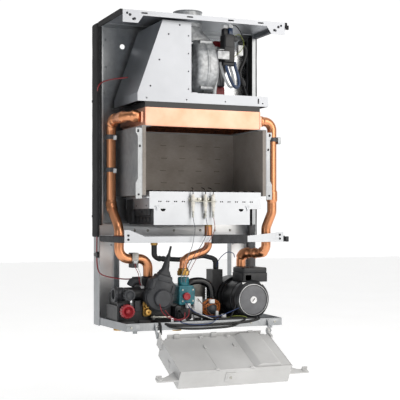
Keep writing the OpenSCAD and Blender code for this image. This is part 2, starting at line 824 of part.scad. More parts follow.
// White stepped bracket on each side of the chamber front
module chamber_brackets() color(white_steel) seat() for (s = [-1, 1]) {
  x = chamber_x + s * jacket_hw;
  z0 = jacket_z - bracket_low;
  z1 = jacket_top - bracket_top;
  step = z0 + bracket_step_share * (z1 - z0);
  difference() {
    front_sheet([[x, z0], [x + s * bracket_foot_w, z0], [x + s * bracket_foot_w, step - bracket_w],
      [x + s * bracket_w, step], [x + s * bracket_w, z1 - 2 * bracket_w], [x + s * bracket_foot_w, z1 - bracket_w],
      [x + s * bracket_foot_w, z1], [x, z1]], jacket_front, bracket_t);
    front_hole(x + s * bracket_foot_w * 0.6, jacket_front, z1 - bracket_w / 2, bracket_hole_r, 4 * bracket_t);
    front_hole(x + s * bracket_w / 2, jacket_front, z0 + 0.75 * (z1 - z0), bracket_hole_r, 4 * bracket_t);
    front_hole(x + s * bracket_w * 0.8, jacket_front, z0 + bracket_w, bracket_hole_r, 4 * bracket_t);
  }
}

// Upper burner bar: hollow tray with pairs of ports, end hooks and blade slots
module burner_frame() color(white_steel) seat() {
  x0 = burner_x - burner_hw;
  x1 = burner_x + burner_hw;
  mid = (x0 + x1) / 2;
  difference() {
    slab([x0, burner_back, bar_z], [x1, burner_front, burner_top]);
    slab([x0 + burner_wall, burner_back + burner_wall, bar_z + burner_wall],
      [x1 - burner_wall, burner_front - burner_wall, burner_top + over]);
    for (i = [0 : port_pairs - 1], k = [-1, 1])
      front_hole(mid + (i - (port_pairs - 1) / 2) * port_pitch + k * port_gap / 2, burner_front, bar_z + port_rise, port_r, 4 * burner_wall);
  }
  for (s = [-1, 1]) {
    x = burner_x + s * burner_hw;
    out = chamber_x + s * (jacket_hw - jacket_t - fibre_t);
    slab([min(x, out), burner_back, burner_top - hook_rise], [max(x, out), burner_front, burner_top - hook_rise + hook_t]);
  }
}

// Lower burner box: front shield with its notches, side wall and manifold cradle
module burner_box() color(white_steel) seat() difference() {
  union() {
    front_sheet([[shield_left, burner_z], [shield_right, burner_z], [shield_right, bar_z], [shield_left, bar_z]],
      burner_front, burner_wall);
    slab([shield_left, burner_back, burner_z], [shield_left + burner_wall, burner_front, bar_z]);
    slab([shield_right - burner_wall, burner_back, burner_z], [shield_right, burner_front, bar_z]);
    slab([shield_left, burner_back, burner_z], [shield_right, burner_front, burner_z + burner_wall]);
  }
  for (s = [-1, 1])
    front_hole((shield_left + shield_right) / 2 + s * ((shield_right - shield_left) / 2 - shield_notch_x), burner_front, bar_z, shield_notch_r, 4 * burner_wall);
  slab([shield_slot_x - shield_slot_w / 2, burner_front - 2 * burner_wall, burner_z + shield_slot_h],
    [shield_slot_x + shield_slot_w / 2, burner_front + over, burner_z + 2 * shield_slot_h]);
  translate([gas_x, -gas_d, burner_z - over]) cylinder(r = gas_r + union_clear, h = burner_wall + 2 * over);
  for (k = [0 : 4])
    face_right(shield_left - over, burner_back + (k + 0.5) * (burner_front - burner_back) / 5, burner_z + burner_box_h / 2)
      cylinder(r = bracket_hole_r, h = burner_wall + 2 * over);
}

// Row of slotted burner blades standing in the bar
module burner_blades() color(steel) seat() {
  x0 = burner_x - burner_hw + burner_wall;
  span = 2 * (burner_hw - burner_wall);
  pitch = span / blade_count;
  difference() {
    for (i = [0 : blade_count - 1])
      slab([x0 + (i + 0.5) * pitch - blade_w / 2, burner_back + burner_wall + gap, bar_z + burner_wall],
        [x0 + (i + 0.5) * pitch + blade_w / 2, burner_front - burner_wall - gap, burner_top + blade_rise]);
    for (i = [0 : blade_count - 1])
      slab([x0 + (i + 0.5) * pitch - blade_w / 2 + sheet_t, burner_back + burner_wall + 2 * sheet_t, bar_z],
        [x0 + (i + 0.5) * pitch + blade_w / 2 - sheet_t, burner_front - burner_wall - 2 * sheet_t, burner_top + blade_rise - sheet_t]);
    for (i = [0 : blade_count - 1], k = [1 : blade_slots])
      slab([x0 + (i + 0.5) * pitch - blade_w, burner_back + k * (burner_front - burner_back) / (blade_slots + 1) - blade_slot_w, burner_top],
        [x0 + (i + 0.5) * pitch + blade_w, burner_back + k * (burner_front - burner_back) / (blade_slots + 1) + blade_slot_w, burner_top + blade_rise + over]);
  }
}
blade_slots = 9;

// Gas manifold with one jet below each blade
module gas_manifold() color(brass) seat() {
  x0 = shield_left + burner_wall;
  x1 = shield_right - burner_wall;
  z = burner_z + burner_wall + manifold_r + manifold_lift;
  face_right(x0, manifold_d, z) cylinder(r = manifold_r, h = x1 - x0);
  for (i = [0 : blade_count - 1])
    translate([x0 + (i + 0.5) * (x1 - x0) / blade_count, -manifold_d, z])
      cylinder(r = jet_r, h = manifold_r + jet_l);
  translate([gas_x, -gas_d, burner_z - manifold_foot]) cylinder(r = gas_r, h = z - burner_z + manifold_foot);
}
manifold_lift = 2;
manifold_foot = 4;

// Spark and sensing electrodes: ceramics and rods on their bracket plate
module electrodes() color(white_steel) seat() {
  first = electrode_xs[0];
  last = electrode_xs[len(electrode_xs) - 1];
  z = bar_z + plate_low;
  difference() {
    slab([first - plate_out, burner_front, z], [last + plate_out, burner_front + plate_out + 2 * ceramic_r, z + plate_t]);
    for (x = electrode_xs)
      translate([x, -burner_front - plate_out - ceramic_r / 2, z - over]) cylinder(r = ceramic_r, h = plate_t + 2 * over);
  }
  slab([first - plate_out, burner_front, z + plate_t], [last + plate_out, burner_front + plate_t, z + plate_h]);
  for (x = electrode_xs) translate([x, -burner_front - plate_out - ceramic_r / 2, z]) {
    translate([0, 0, -ceramic_l / 2]) cylinder(r = ceramic_r, h = ceramic_l);
    translate([0, 0, -ceramic_l]) cylinder(r = ceramic_r * 0.7, h = ceramic_l / 2);
    cylinder(r = rod_r, h = ceramic_l / 2 + rod_l);
  }
}

// Thin leads from the electrodes down to the gas valve
module electrode_leads() color("orange") seat() {
  wire(lead_a, lead_r);
  wire(lead_b, lead_r);
  wire(lead_c, lead_r);
}

// Fan scroll: two cast halves with a seam, an inlet neck and the duct to the flue
module fan_scroll() color(cast_alu) seat() difference() {
  union() {
    face_right(fan_x, fan_d, fan_z) cylinder(r = scroll_r, h = scroll_w);
    face_right(fan_x + (scroll_w - scroll_seam_w) / 2, fan_d, fan_z) cylinder(r = scroll_r + scroll_seam, h = scroll_seam_w);
    face_right(hood_tower_right, fan_d, fan_z) cylinder(r = inlet_r + 2 * scroll_wall, h = fan_x - hood_tower_right);
    difference() {
      hull() {
        slab([fan_x, fan_d - duct_w / 2, fan_z + duct_base], [fan_x + scroll_w, fan_d + duct_w / 2, fan_z + duct_base + scroll_wall]);
        translate([flue_x, -flue_d, hood_top]) cylinder(r = flue_out, h = flue_flange_t, $fn = 32);
      }
      slab([hood_left, 0, hood_z], [hood_tower_right, frame_d, hood_top]);
    }
    for (i = [0 : boss_n - 1]) face_right(fan_x, fan_d, fan_z) rotate(360 * (i + 0.5) / boss_n)
      translate([scroll_r, 0, 0]) cylinder(r = boss_r, h = scroll_w);
  }
  face_right(fan_x + scroll_wall, fan_d, fan_z) cylinder(r = scroll_r - scroll_wall, h = scroll_w - 2 * scroll_wall);
  face_right(hood_tower_right - over, fan_d, fan_z) cylinder(r = inlet_r, h = scroll_w / 2);
  face_right(fan_x + scroll_w - scroll_wall - over, fan_d, fan_z) cylinder(r = shaft_r + scroll_wall, h = scroll_wall + 2 * over);
  translate([flue_x + duct_bore_x, -flue_d, fan_z + duct_base]) cylinder(r = duct_bore_r, h = hood_top);
}
duct_bore_r = 20;
duct_bore_x = 8;

// Fan wheel with leaning vanes between two rings, on its hub and shaft
module fan_impeller() color(steel) seat() face_right(fan_x + (scroll_w - impeller_w) / 2, fan_d, fan_z) {
  difference() {
    union() {
      translate([0, 0, impeller_w - impeller_disc]) cylinder(r = impeller_r, h = impeller_disc);
      cylinder(r = impeller_r, h = impeller_disc);
    }
    translate([0, 0, -over]) cylinder(r = impeller_r - vane_depth, h = impeller_disc + over);
  }
  for (i = [0 : vane_count - 1]) rotate(360 * i / vane_count) translate([impeller_r - vane_depth * 0.9, 0, 0])
    rotate(vane_lean) translate([0, -vane_t / 2, 0]) cube([vane_depth * 0.9, vane_t, impeller_w]);
  translate([0, 0, impeller_w / 2]) cylinder(r = hub_r, h = impeller_w / 2);
  cylinder(r = shaft_r, h = impeller_w + (scroll_w - impeller_w) / 2 + motor_l / 2);
}

// Fan motor: can with an end cap and two coils, its nose plate on the scroll
module fan_motor() color(black_plastic) seat() face_right(fan_x + scroll_w, fan_d, fan_z) {
  difference() {
    union() {
      cylinder(r = motor_r, h = motor_l);
      translate([0, 0, motor_l]) cylinder(r = motor_cap_r, h = motor_cap_l);
      for (s = [-1, 1]) translate([s > 0 ? motor_r - coil_out : -motor_r - coil_out, -coil_w / 2, motor_l / 4])
        cube([2 * coil_out, coil_w, coil_h]);
    }
    translate([0, 0, -over]) cylinder(r = shaft_r + shaft_clear, h = motor_l / 2 + 2 * over);
  }
}

// Bracket arm from the scroll that carries the pressure switch
module fan_bracket() color(zinc) seat() {
  x0 = fan_x + scroll_w;
  z = switch_mid;
  slab([x0, switch_d0 - arm_t, z - arm_h / 2], [switch_x1, switch_d0, z + arm_h / 2]);
  slab([x0, switch_d0 - arm_w, z - arm_h / 2], [x0 + arm_t, switch_d0 - arm_t, z + arm_h / 2]);
}
switch_z0 = frame_h - switch_low;
switch_z1 = frame_h - switch_high;
switch_mid = (switch_z0 + switch_z1) / 2;

// Air pressure switch with its cap, two spigots below and a plug on top
module pressure_switch() color(black_plastic) seat() {
  slab([switch_x0, switch_d0, switch_z0], [switch_x1, switch_d1, switch_z1]);
  face_out((switch_x0 + switch_x1) / 2, switch_d1, switch_mid) cylinder(r = (switch_x1 - switch_x0) / 2, h = switch_cap);
  for (s = [-1, 1])
    translate([switch_x0 + switch_spigot_in, -(switch_d0 + switch_d1) / 2 + s * switch_spigot_gap / 2, switch_z0 - switch_spigot_l])
      cylinder(r = switch_spigot_r, h = switch_spigot_l);
  slab([switch_x0, switch_d0, switch_z1], [switch_x0 + switch_plug_w, switch_d0 + switch_plug_w, switch_z1 + switch_plug_h]);
  slab([switch_x1, switch_d0, switch_z1 - switch_tap_h], [switch_x1 + switch_tap_w, switch_d1, switch_z1]);
}

// Two soft tubes that loop down from the switch and up again to its side taps
module pressure_tubes() color("royalblue") seat() {
  x0 = switch_x0 + switch_spigot_in;
  r = (switch_x1 + switch_tap_w / 2 - x0) / 2;
  low = switch_z0 - switch_spigot_l - tube_drop;
  for (s = [-1, 1]) translate([x0, s * switch_spigot_gap / 2 - (switch_d0 + switch_d1) / 2, low]) {
    cylinder(r = hose_r, h = tube_drop);
    translate([r, 0, 0]) rotate([90, 0, 0]) rotate_extrude(angle = -180) translate([r, 0]) circle(hose_r);
    translate([2 * r, 0, 0]) cylinder(r = hose_r, h = switch_z1 - switch_tap_h - low);
  }
}
tube_drop = 42;

// Soldered sleeve round an upright pipe, above a corner of its route
module pipe_sleeve(p, rise, l, r) translate(yz(p) + [0, 0, rise]) cylinder(r = r + joint_t, h = l);

// Copper flow pipe from the left end of the exchanger to the flow block
module flow_pipe() color(copper) seat() {
  bent_pipe(flow_route, flow_bends, pipe_r, pipe_sides, bend_steps);
  pipe_sleeve(flow_route[3], joint_l / 2, joint_l, pipe_r);
}
joint_l = 24;
joint_t = 2;

// Copper return pipe from the pump to the right end of the exchanger
module return_pipe() color(copper) seat() {
  bent_pipe(return_route, return_bends, pipe_r, pipe_sides, bend_steps);
  pipe_sleeve(return_route[2], joint_l, joint_l, pipe_r);
}

// Copper gas pipe with its brass nut over the gas valve
module gas_pipe() color(copper) seat() {
  bent_pipe(gas_route, gas_bends, gas_r, pipe_sides, bend_steps);
  last = gas_route[len(gas_route) - 1];
  translate(yz(last)) cylinder(r = gas_r + nut_t, h = nut_h, $fn = 6);
}
nut_t = 6;

// Flexible hose between the shelf nut and the return side
hose_top = [-86, 100, 205];
hose_route = [[-86, 100, 196], [-86, 100, 156], [-22, 96, 152], [41, 90, 160], [74, 88, 152], [74, 88, 128]];
hose_bends = [12, 40, 40, 14];
hose_pipe_r = 5.5;
module vessel_hose() color(dark_plastic) seat() {
  bent_pipe(hose_route, hose_bends, hose_pipe_r, hose_sides, bend_steps);
  translate([hose_top[0], -hose_top[1], shelf_z - hose_nut_h]) cylinder(r = hose_pipe_r * 1.8, h = hose_nut_h, $fn = 6);
}
hose_nut_h = 11;

// Clips and the sensor clamped on the pipes
module pipe_clips() color(black_plastic) seat() {
  for (c = [[flow_route[2], flow_route[3], flow_clip_share, 1], [flow_route[2], flow_route[3], flow_clip_low_share, 1],
            [return_route[1], return_route[2], return_clip_share, -1]])
    difference() {
      z = c[1][2] + c[2] * (c[0][2] - c[1][2]);
      union() {
        translate([c[1][0], -c[1][1], z]) cylinder(r = pipe_r + gap + clip_t, h = clip_h);
        slab([c[1][0] - clip_t, c[1][1] - pipe_r - clip_tail, z], [c[1][0] + clip_t, c[1][1], z + clip_h]);
      }
      translate([c[1][0], -c[1][1], z - over]) cylinder(r = pipe_r + gap, h = clip_h + 2 * over);
    }
  m = (flow_route[5] + flow_route[6]) / 2;
  difference() {
    slab([m[0] - sensor_w / 2, m[1] - pipe_r - clip_t, m[2] - pipe_r - sensor_h], [m[0] + sensor_w / 2, m[1] + pipe_r + clip_t, m[2] + pipe_r + clip_t]);
    face_right(m[0] - sensor_w, m[1], m[2]) cylinder(r = pipe_r + gap, h = 2 * sensor_w);
  }
}

// Rubber grommets where the pipes pass the shelf
module grommets() color([0.35, 0.1, 0.08]) seat()
  for (p = [[flow_route[4], pipe_r], [return_route[3], pipe_r], [gas_route[0], gas_r]])
    translate([p[0][0], -p[0][1], shelf_z]) difference() {
      union() {
        translate([0, 0, -grommet_h / 2]) cylinder(r = p[1] + grommet_t - gap / 2, h = grommet_h + sheet_t);
        translate([0, 0, -grommet_h / 2]) cylinder(r = p[1] + 1.25 * grommet_t, h = grommet_h / 2);
      }
      translate([0, 0, -grommet_h]) cylinder(r = p[1] + gap, h = 3 * grommet_h);
    }

// Thin red capillary from the hood round the left side to the flow block
module sense_wire() color("darkred") seat() wire(sense_route, sense_r);

// Flow block: moulded valve body with its barrels, towers and sockets
module flow_block() color(black_plastic) seat() {
  top = block_z0 + block_core_h;
  difference() {
    union() {
      slab([block_x0, block_d0, block_z0], [block_x1, block_d1, top]);
      slab([flow_end[0] - block_tower_w / 2, block_d0, top], [flow_end[0] + block_tower_w / 2, block_d1 - barrel_r, block_z0 + block_core_h + block_tower_h]);
      face_right(block_x0, block_d1 - barrel_r - 2 * bead_r, fill_z) cylinder(r = barrel_r, h = flow_end[0] - block_x0);
      slab([block_x0 + barrel_r / 2, block_d0, top], [block_x0 + 2.5 * barrel_r, block_d1 - barrel_r - 4 * bead_r, fill_z]);
      face_out(relief_x, block_d1 - barrel_r, relief_z) cylinder(r = barrel_r, h = barrel_r + stem_l / 2);
      face_out(fill_x, block_d1 - barrel_r, fill_z) cylinder(r = barrel_r * 0.8, h = barrel_r + stem_l / 2);
      face_out(actuator_x, block_d0, actuator_z) cylinder(r = barrel_r * 1.3, h = block_d1 - block_d0);
      translate([flow_end[0], -flow_end[1], flow_end[2] - barrel_r]) cylinder(r = pipe_r + clip_t, h = barrel_r);
    }
    face_out(relief_x, block_d1, relief_z) cylinder(r = stem_r + stem_clear, h = 2 * barrel_r);
    face_out(fill_x, block_d1, fill_z) cylinder(r = stem_r + stem_clear, h = 2 * barrel_r);
    face_out(actuator_x, block_d1 - spool_l - spool_travel - over, actuator_z) cylinder(r = spool_r + spool_clear, h = block_d1);
  }
}
flow_end = flow_route[len(flow_route) - 1];

// Red relief valve knob on its stem
module relief_knob() color("firebrick") seat() face_out(relief_x, block_d1 + stem_l / 2 + gap, relief_z) {
  toothed(relief_r, relief_l, relief_teeth, 2 * bead_r);
  translate([0, 0, -stem_l / 2]) cylinder(r = stem_r, h = stem_l / 2);
}

// Black ribbed filling knob on its stem
module fill_knob() color(black_plastic) seat() face_out(fill_x, block_d1 + stem_l / 2 + gap, fill_z) {
  toothed(fill_r, fill_l, fill_teeth, bead_r);
  translate([0, 0, -stem_l / 2]) cylinder(r = stem_r, h = stem_l / 2);
}

// Diverter actuator: round motor housing with a raised cap and a shouldered head
module diverter_actuator() color(dark_plastic) seat() face_out(actuator_x, block_d1, actuator_z) rotate(-actuator_tilt) {
  difference() {
    union() {
      cylinder(r = actuator_r, h = actuator_l);
      translate([0, 0, actuator_l]) cylinder(r = actuator_cap_r, h = actuator_cap_l);
      linear_extrude(actuator_l * 0.8) polygon([[-actuator_head_w / 2, 0], [actuator_head_w / 2, 0],
        [actuator_head_w / 2, actuator_head_h], [boot_w / 2, actuator_head_h + barrel_r],
        [-boot_w / 2, actuator_head_h + barrel_r], [-actuator_head_w / 2, actuator_head_h]]);
    }
    translate([0, 0, -over]) cylinder(r = spool_r + gap, h = spool_travel + 2 * over);
  }
}

// Stepped rubber boot with the actuator cable
module actuator_boot() color(black_plastic) seat() face_out(actuator_x, block_d1, actuator_z) rotate(-actuator_tilt)
  translate([0, actuator_head_h + barrel_r, actuator_l * 0.4]) rotate([-90, 0, 0]) {
    hull() {
      translate([-boot_w / 2, -actuator_l / 4, 0]) cube([boot_w, actuator_l / 2, bead_r]);
      translate([0, 0, boot_h * 0.4]) cylinder(r = boot_w * 0.32, h = bead_r, $fn = 24);
    }
    translate([0, 0, boot_h * 0.4]) cylinder(r1 = boot_w * 0.24, r2 = boot_top_r, h = boot_h * 0.6);
    translate([0, 0, boot_h]) cylinder(r = cable_r, h = cable_l);
  }

// Diverter spool that slides in the flow block
module diverter_spool() color(steel) seat()
  face_out(actuator_x, block_d1 - spool_l, actuator_z) cylinder(r = spool_r, h = spool_l - gap);

// Plate heat exchanger for hot water: pressed plates behind the blocks
module plate_exchanger() color(steel) seat() {
  pitch = (plate_z1 - plate_z0) / plate_n;
  slab([plate_x0 + plate_groove, plate_d0 + plate_groove, plate_z0], [plate_x1 - plate_groove, plate_d1 - plate_groove, plate_z1]);
  for (i = [0 : plate_n - 1])
    slab([plate_x0, plate_d0, plate_z0 + i * pitch + plate_groove / 2], [plate_x1, plate_d1, plate_z0 + (i + 1) * pitch - plate_groove / 2]);
  for (x = [plate_x0 + pipe_r + plate_groove, plate_x1 - pipe_r - plate_groove])
    translate([x, -(plate_d0 + plate_d1) / 2, block_z0]) cylinder(r = pipe_r, h = plate_z0 - block_z0);
}

// Gas valve: cast body with its coil cap, side plate and outlet boss
module gas_valve() color([0.15, 0.4, 0.45]) seat() difference() {
  union() {
    slab([valve_x0, valve_d0, valve_low], [valve_x1 - valve_plate_w, valve_d1, valve_mid]);
    slab([valve_x0 + bead_r, valve_d0 + bead_r, valve_mid], [valve_x1 - valve_plate_w + bead_r, valve_d1 - bead_r, valve_high]);
    translate([gas_end[0], -gas_end[1], valve_high]) cylinder(r = gas_r + nut_t - bead_r, h = gas_end[2] - valve_high);
    slab([valve_x1 - valve_plate_w + bead_r, valve_d1 - valve_cap_r, valve_mid - valve_cap_r], [valve_x1, valve_d1 - valve_cap_r + valve_plate_t, valve_high - bead_r]);
    translate([valve_x0 + valve_cap_r, -(valve_d0 + valve_d1) / 2, block_z0]) cylinder(r = gas_r, h = valve_low - block_z0);
  }
  face_out(valve_knob_x, valve_d1 - bead_r - stem_l, valve_knob_z) cylinder(r = stem_r + stem_clear, h = stem_l + over);
}
gas_end = gas_route[len(gas_route) - 1];

// Red adjuster on the front of the gas valve
module gas_valve_knob() color("firebrick") seat() face_out(valve_knob_x, valve_d1 + gap, valve_knob_z) {
  toothed(valve_knob_r, valve_knob_l, fill_teeth, bead_r);
  translate([0, 0, -stem_l / 2]) cylinder(r = stem_r, h = stem_l / 2);
}

// Hot water flow sensor: domed coil on its brass body
module flow_sensor() color(white_steel) seat() {
  face_out(sensor_x, sensor_d0, sensor_z) cylinder(r = sensor_r, h = sensor_d1 - sensor_d0);
  face_out(sensor_x, sensor_d1, sensor_z) rotate_extrude()
    intersection() {
      scale(1) circle(sensor_r * 0.8);
      square(sensor_r);
    }
  translate([sensor_x, -(sensor_d0 + sensor_d1) / 2, block_z0]) cylinder(r = sensor_r * 0.6, h = sensor_z - block_z0);
}

// Pump volute: moulded round casing with its foot, inlet arm and outlet neck
module pump_volute() color(black_plastic) seat() difference() {
  union() {
    face_out(pump_x, volute_d0, pump_z) cylinder(r = volute_r, h = pump_back - volute_d0);
    slab([pump_x - volute_foot_w / 2, volute_d0, block_z0], [pump_x + volute_foot_w / 2, pump_back, pump_z]);
    slab([volute_arm_x - volute_arm_w / 2, volute_d0, block_z0], [volute_arm_x + volute_arm_w / 2, pump_back - volute_rim, hose_end[2]]);
    translate([return_end[0], -return_end[1], pump_z]) cylinder(r = pipe_r + clip_t, h = return_end[2] - pump_z);
  }
  face_out(pump_x, pump_back - rotor_w - 2 * rotor_clear, pump_z) cylinder(r = rotor_r + rotor_clear, h = rotor_w + 2 * rotor_clear + over);
}
hose_end = hose_route[len(hose_route) - 1];
return_end = return_route[len(return_route) - 1];

// Pump motor: stepped can with cooling ribs and the face disc with its ring
module pump_motor() color(dark_plastic) seat() face_out(pump_x, pump_back, pump_z) difference() {
  union() {
    cylinder(r = pump_r, h = pump_front - pump_back - volute_rim);
    translate([0, 0, pump_front - pump_back - volute_rim]) cylinder(r = pump_r - pump_ring, h = volute_rim);
    translate([0, 0, pump_front - pump_back]) cylinder(r = pump_face_r, h = pump_face_l);
  }
  translate([0, 0, pump_front - pump_back + pump_face_l - bead_r]) cylinder(r = pump_face_r - pump_ring, h = pump_face_l);
  translate([0, 0, -over]) cylinder(r = shaft_r + shaft_clear, h = pump_r);
  translate([0, 0, pump_front - pump_back - vent_l]) cylinder(r = vent_r + shaft_clear, h = pump_r);
}

// Terminal box on top of the pump motor
module terminal_box() color(black_plastic) seat() difference() {
  union() {
    slab([term_x0, term_d0, term_z], [term_x1, term_d1, term_z + term_h - bead_r * 2]);
    slab([term_x0 + bead_r, term_d0 + bead_r, term_z + term_h - bead_r * 2], [term_x1 - bead_r, term_d1 - bead_r, term_z + term_h]);
    slab([pump_x - term_neck / 2, term_d0 + bead_r, pump_z + pump_r * 0.8], [pump_x + term_neck / 2, term_d1 - 2 * volute_rim, term_z]);
  }
  face_out(pump_x, term_d0 - over, pump_z) cylinder(r = pump_r + gap, h = term_d1);
}
term_z = pump_z + pump_r - 5;
term_neck = 34;

// Pump wheel with curved vanes on its shaft
module pump_impeller() color(steel) seat() face_out(pump_x, pump_back - rotor_w - rotor_clear, pump_z) {
  cylinder(r = rotor_r, h = impeller_disc);
  translate([0, 0, rotor_w - impeller_disc]) cylinder(r = rotor_r, h = impeller_disc);
  for (i = [0 : rotor_vanes - 1]) rotate(360 * i / rotor_vanes) translate([shaft_r, 0, 0])
    rotate(vane_lean) cube([rotor_r * 0.75, vane_t, rotor_w]);
  cylinder(r = shaft_r, h = rotor_w + pump_r / 2);
}

// Slotted vent screw in the middle of the pump face
module vent_screw() color(steel) seat() face_out(pump_x, pump_front - vent_l + gap, pump_z) difference() {
  cylinder(r = vent_r, h = vent_l + pump_face_l);
  translate([-vent_r, -vent_slot / 2, vent_l + pump_face_l - vent_slot]) cube([2 * vent_r, vent_slot, 2 * vent_slot]);
}

// Brass unions that pass down through the tray
module connection_unions() color(brass) seat() for (i = [0 : len(union_xs) - 1])
  translate([union_xs[i], -union_ds[i], 0]) difference() {
    translate([0, 0, rail_low - union_l]) cylinder(r = union_rs[i], h = union_l + tray_t - gap);
    translate([0, 0, rail_low - union_l - over]) cylinder(r = union_rs[i] * union_bore_share, h = union_l);
  }
union_l = 10;

// Cable loom that lies along the front of the tray
module wiring_loom() color(black_plastic) seat() {
  wire(loom_a, loom_r);
  wire(loom_b, loom_r);
}

// Control box frame: children are drawn upright with the hinge at the origin,
// +X across, +Z up the box and +Y towards the boiler
module control_pose() seat() translate([0, -hinge_d, hinge_z]) rotate([control_open, 0, 0]) children();

// Control tray: front shell with side walls, hinge ears and latch arms
module control_tray() color(light_plastic) control_pose() {
  difference() {
    union() {
      translate([control_x0, -control_t, control_base]) cube([control_w, control_t - cover_lip, control_l - control_base]);
      for (x = [control_x0 - ear_t, control_x1]) translate([x, 0, 0]) {
        rotate([0, 90, 0]) cylinder(r = ear_r, h = ear_t);
        translate([0, -control_t / 2, 0]) cube([ear_t, control_t / 2, control_base + 2 * ear_r]);
      }
      for (s = [0, 1]) translate([control_x, 0, 0]) mirror([s, 0, 0])
        translate([control_w / 2, 0, 0]) {
          translate([0, -control_t * 0.6, control_l - latch_foot]) cube([latch_reach, latch_t, latch_w]);
          translate([latch_reach - latch_w, -control_t * 0.6, control_l - latch_foot]) cube([latch_w, latch_t + latch_drop, latch_t]);
        }
    }
    translate([control_x0 + control_wall, control_wall - control_t, control_base + control_wall])
      cube([control_w - 2 * control_wall, control_t, control_l - control_base - 2 * control_wall]);
    for (x = [control_x0 - ear_t - over, control_x1 - over]) translate([x, 0, 0])
      rotate([0, 90, 0]) cylinder(r = hinge_pin_r + hinge_clear, h = ear_t + 2 * over);
    for (kx = knob_xs) translate([kx, over - control_t + control_wall, knob_up]) rotate([90, 0, 0])
      cylinder(r = spindle_r + spindle_clear, h = control_wall + 2 * over);
    translate([gauge_x, over - control_t + control_wall, knob_up]) rotate([90, 0, 0])
      cylinder(r = gauge_r + gap, h = control_wall + 2 * over);
  }
  for (x = [control_x0 + 2 * board_in, control_x1 - 2 * board_in], z = [control_base + 2 * board_in, control_l - 2 * board_in])
    translate([x, control_wall - control_t, z]) rotate([-90, 0, 0])
      cylinder(r = post_r, h = control_t - control_wall - cover_lip - board_up - board_t);
}

// Rear cover of the control box with its raised section and lip
module control_cover() color(light_plastic) control_pose() {
  step = control_x0 + control_w * cover_step_share;
  translate([0, 0, control_base]) linear_extrude(control_l - control_base) polygon([
    [control_x0, -cover_lip], [control_x1, -cover_lip], [control_x1, cover_rise - cover_lip + cover_t],
    [step + cover_slope, cover_rise - cover_lip + cover_t], [step, cover_t - cover_lip], [control_x0, cover_t - cover_lip]]);
  for (k = [1, 2]) translate([control_x0 + k * control_w * 0.22, cover_t - cover_lip, control_base + (control_l - control_base) * 0.55])
    cube([cover_t, cover_t, board_up]);
}

// Circuit board on the floor of the tray
module circuit_board() color("darkgreen") control_pose()
  translate([control_x0 + board_in, -cover_lip - board_up - board_t, control_base + board_in])
    cube([control_w - 2 * board_in, board_t, control_l - control_base - 2 * board_in]);

// Rotary knob on its spindle, grip towards the front
module rotary_knob(x) control_pose() translate([x, -control_t - gap, knob_up]) rotate([90, 0, 0]) {
  toothed(knob_r, knob_l, knob_teeth, bead_r);
  translate([-knob_grip / 2, 0, knob_l]) cube([knob_grip, knob_r - bead_r, bead_r]);
  translate([0, 0, -gap - control_wall - bead_r]) cylinder(r = spindle_r, h = gap + control_wall + bead_r);
}
module heating_knob() color(dark_plastic) rotary_knob(knob_xs[0]);
module hot_water_knob() color(dark_plastic) rotary_knob(knob_xs[1]);

// Round pressure gauge with its bezel and needle
module pressure_gauge() color(white_steel) control_pose() translate([gauge_x, bezel_t - control_t + gauge_l - 2 * bezel_t, knob_up]) rotate([90, 0, 0])
  difference() {
    union() {
      cylinder(r = gauge_r, h = gauge_l - bezel_t);
      translate([0, 0, gauge_l - bezel_t]) cylinder(r = gauge_r + bezel_t, h = bezel_t);
    }
    difference() {
      translate([0, 0, gauge_l - bezel_t]) cylinder(r = gauge_r - bezel_t, h = 2 * bezel_t);
      translate([-needle_w / 2, 0, gauge_l - bezel_t]) rotate(-vane_lean) cube([needle_w, gauge_r * 0.7, bezel_t / 2]);
    }
  }

rear_frame();
top_panel();
flue_collar();
side_seal_left();
side_seal_right();
top_seal();
shelf();
crossbar();
foam_pads();
bottom_frame();
flue_hood();
hood_skirt();
exchanger_shell();
exchanger_fins();
chamber_jacket();
insulation_sides();
insulation_back();
chamber_brackets();
burner_frame();
burner_box();
burner_blades();
gas_manifold();
electrodes();
electrode_leads();
fan_scroll();
fan_impeller();
fan_motor();
fan_bracket();
pressure_switch();
pressure_tubes();
flow_pipe();
return_pipe();
gas_pipe();
vessel_hose();
pipe_clips();
grommets();
sense_wire();
flow_block();
relief_knob();
fill_knob();
diverter_actuator();
actuator_boot();
diverter_spool();
plate_exchanger();
gas_valve();
gas_valve_knob();
flow_sensor();
pump_volute();
pump_motor();
terminal_box();
pump_impeller();
vent_screw();
connection_unions();
wiring_loom();
control_tray();
control_cover();
circuit_board();
heating_knob();
hot_water_knob();
pressure_gauge();
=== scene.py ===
"""Wall-hung combi boiler with its casing off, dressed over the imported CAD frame."""
from math import pi, radians

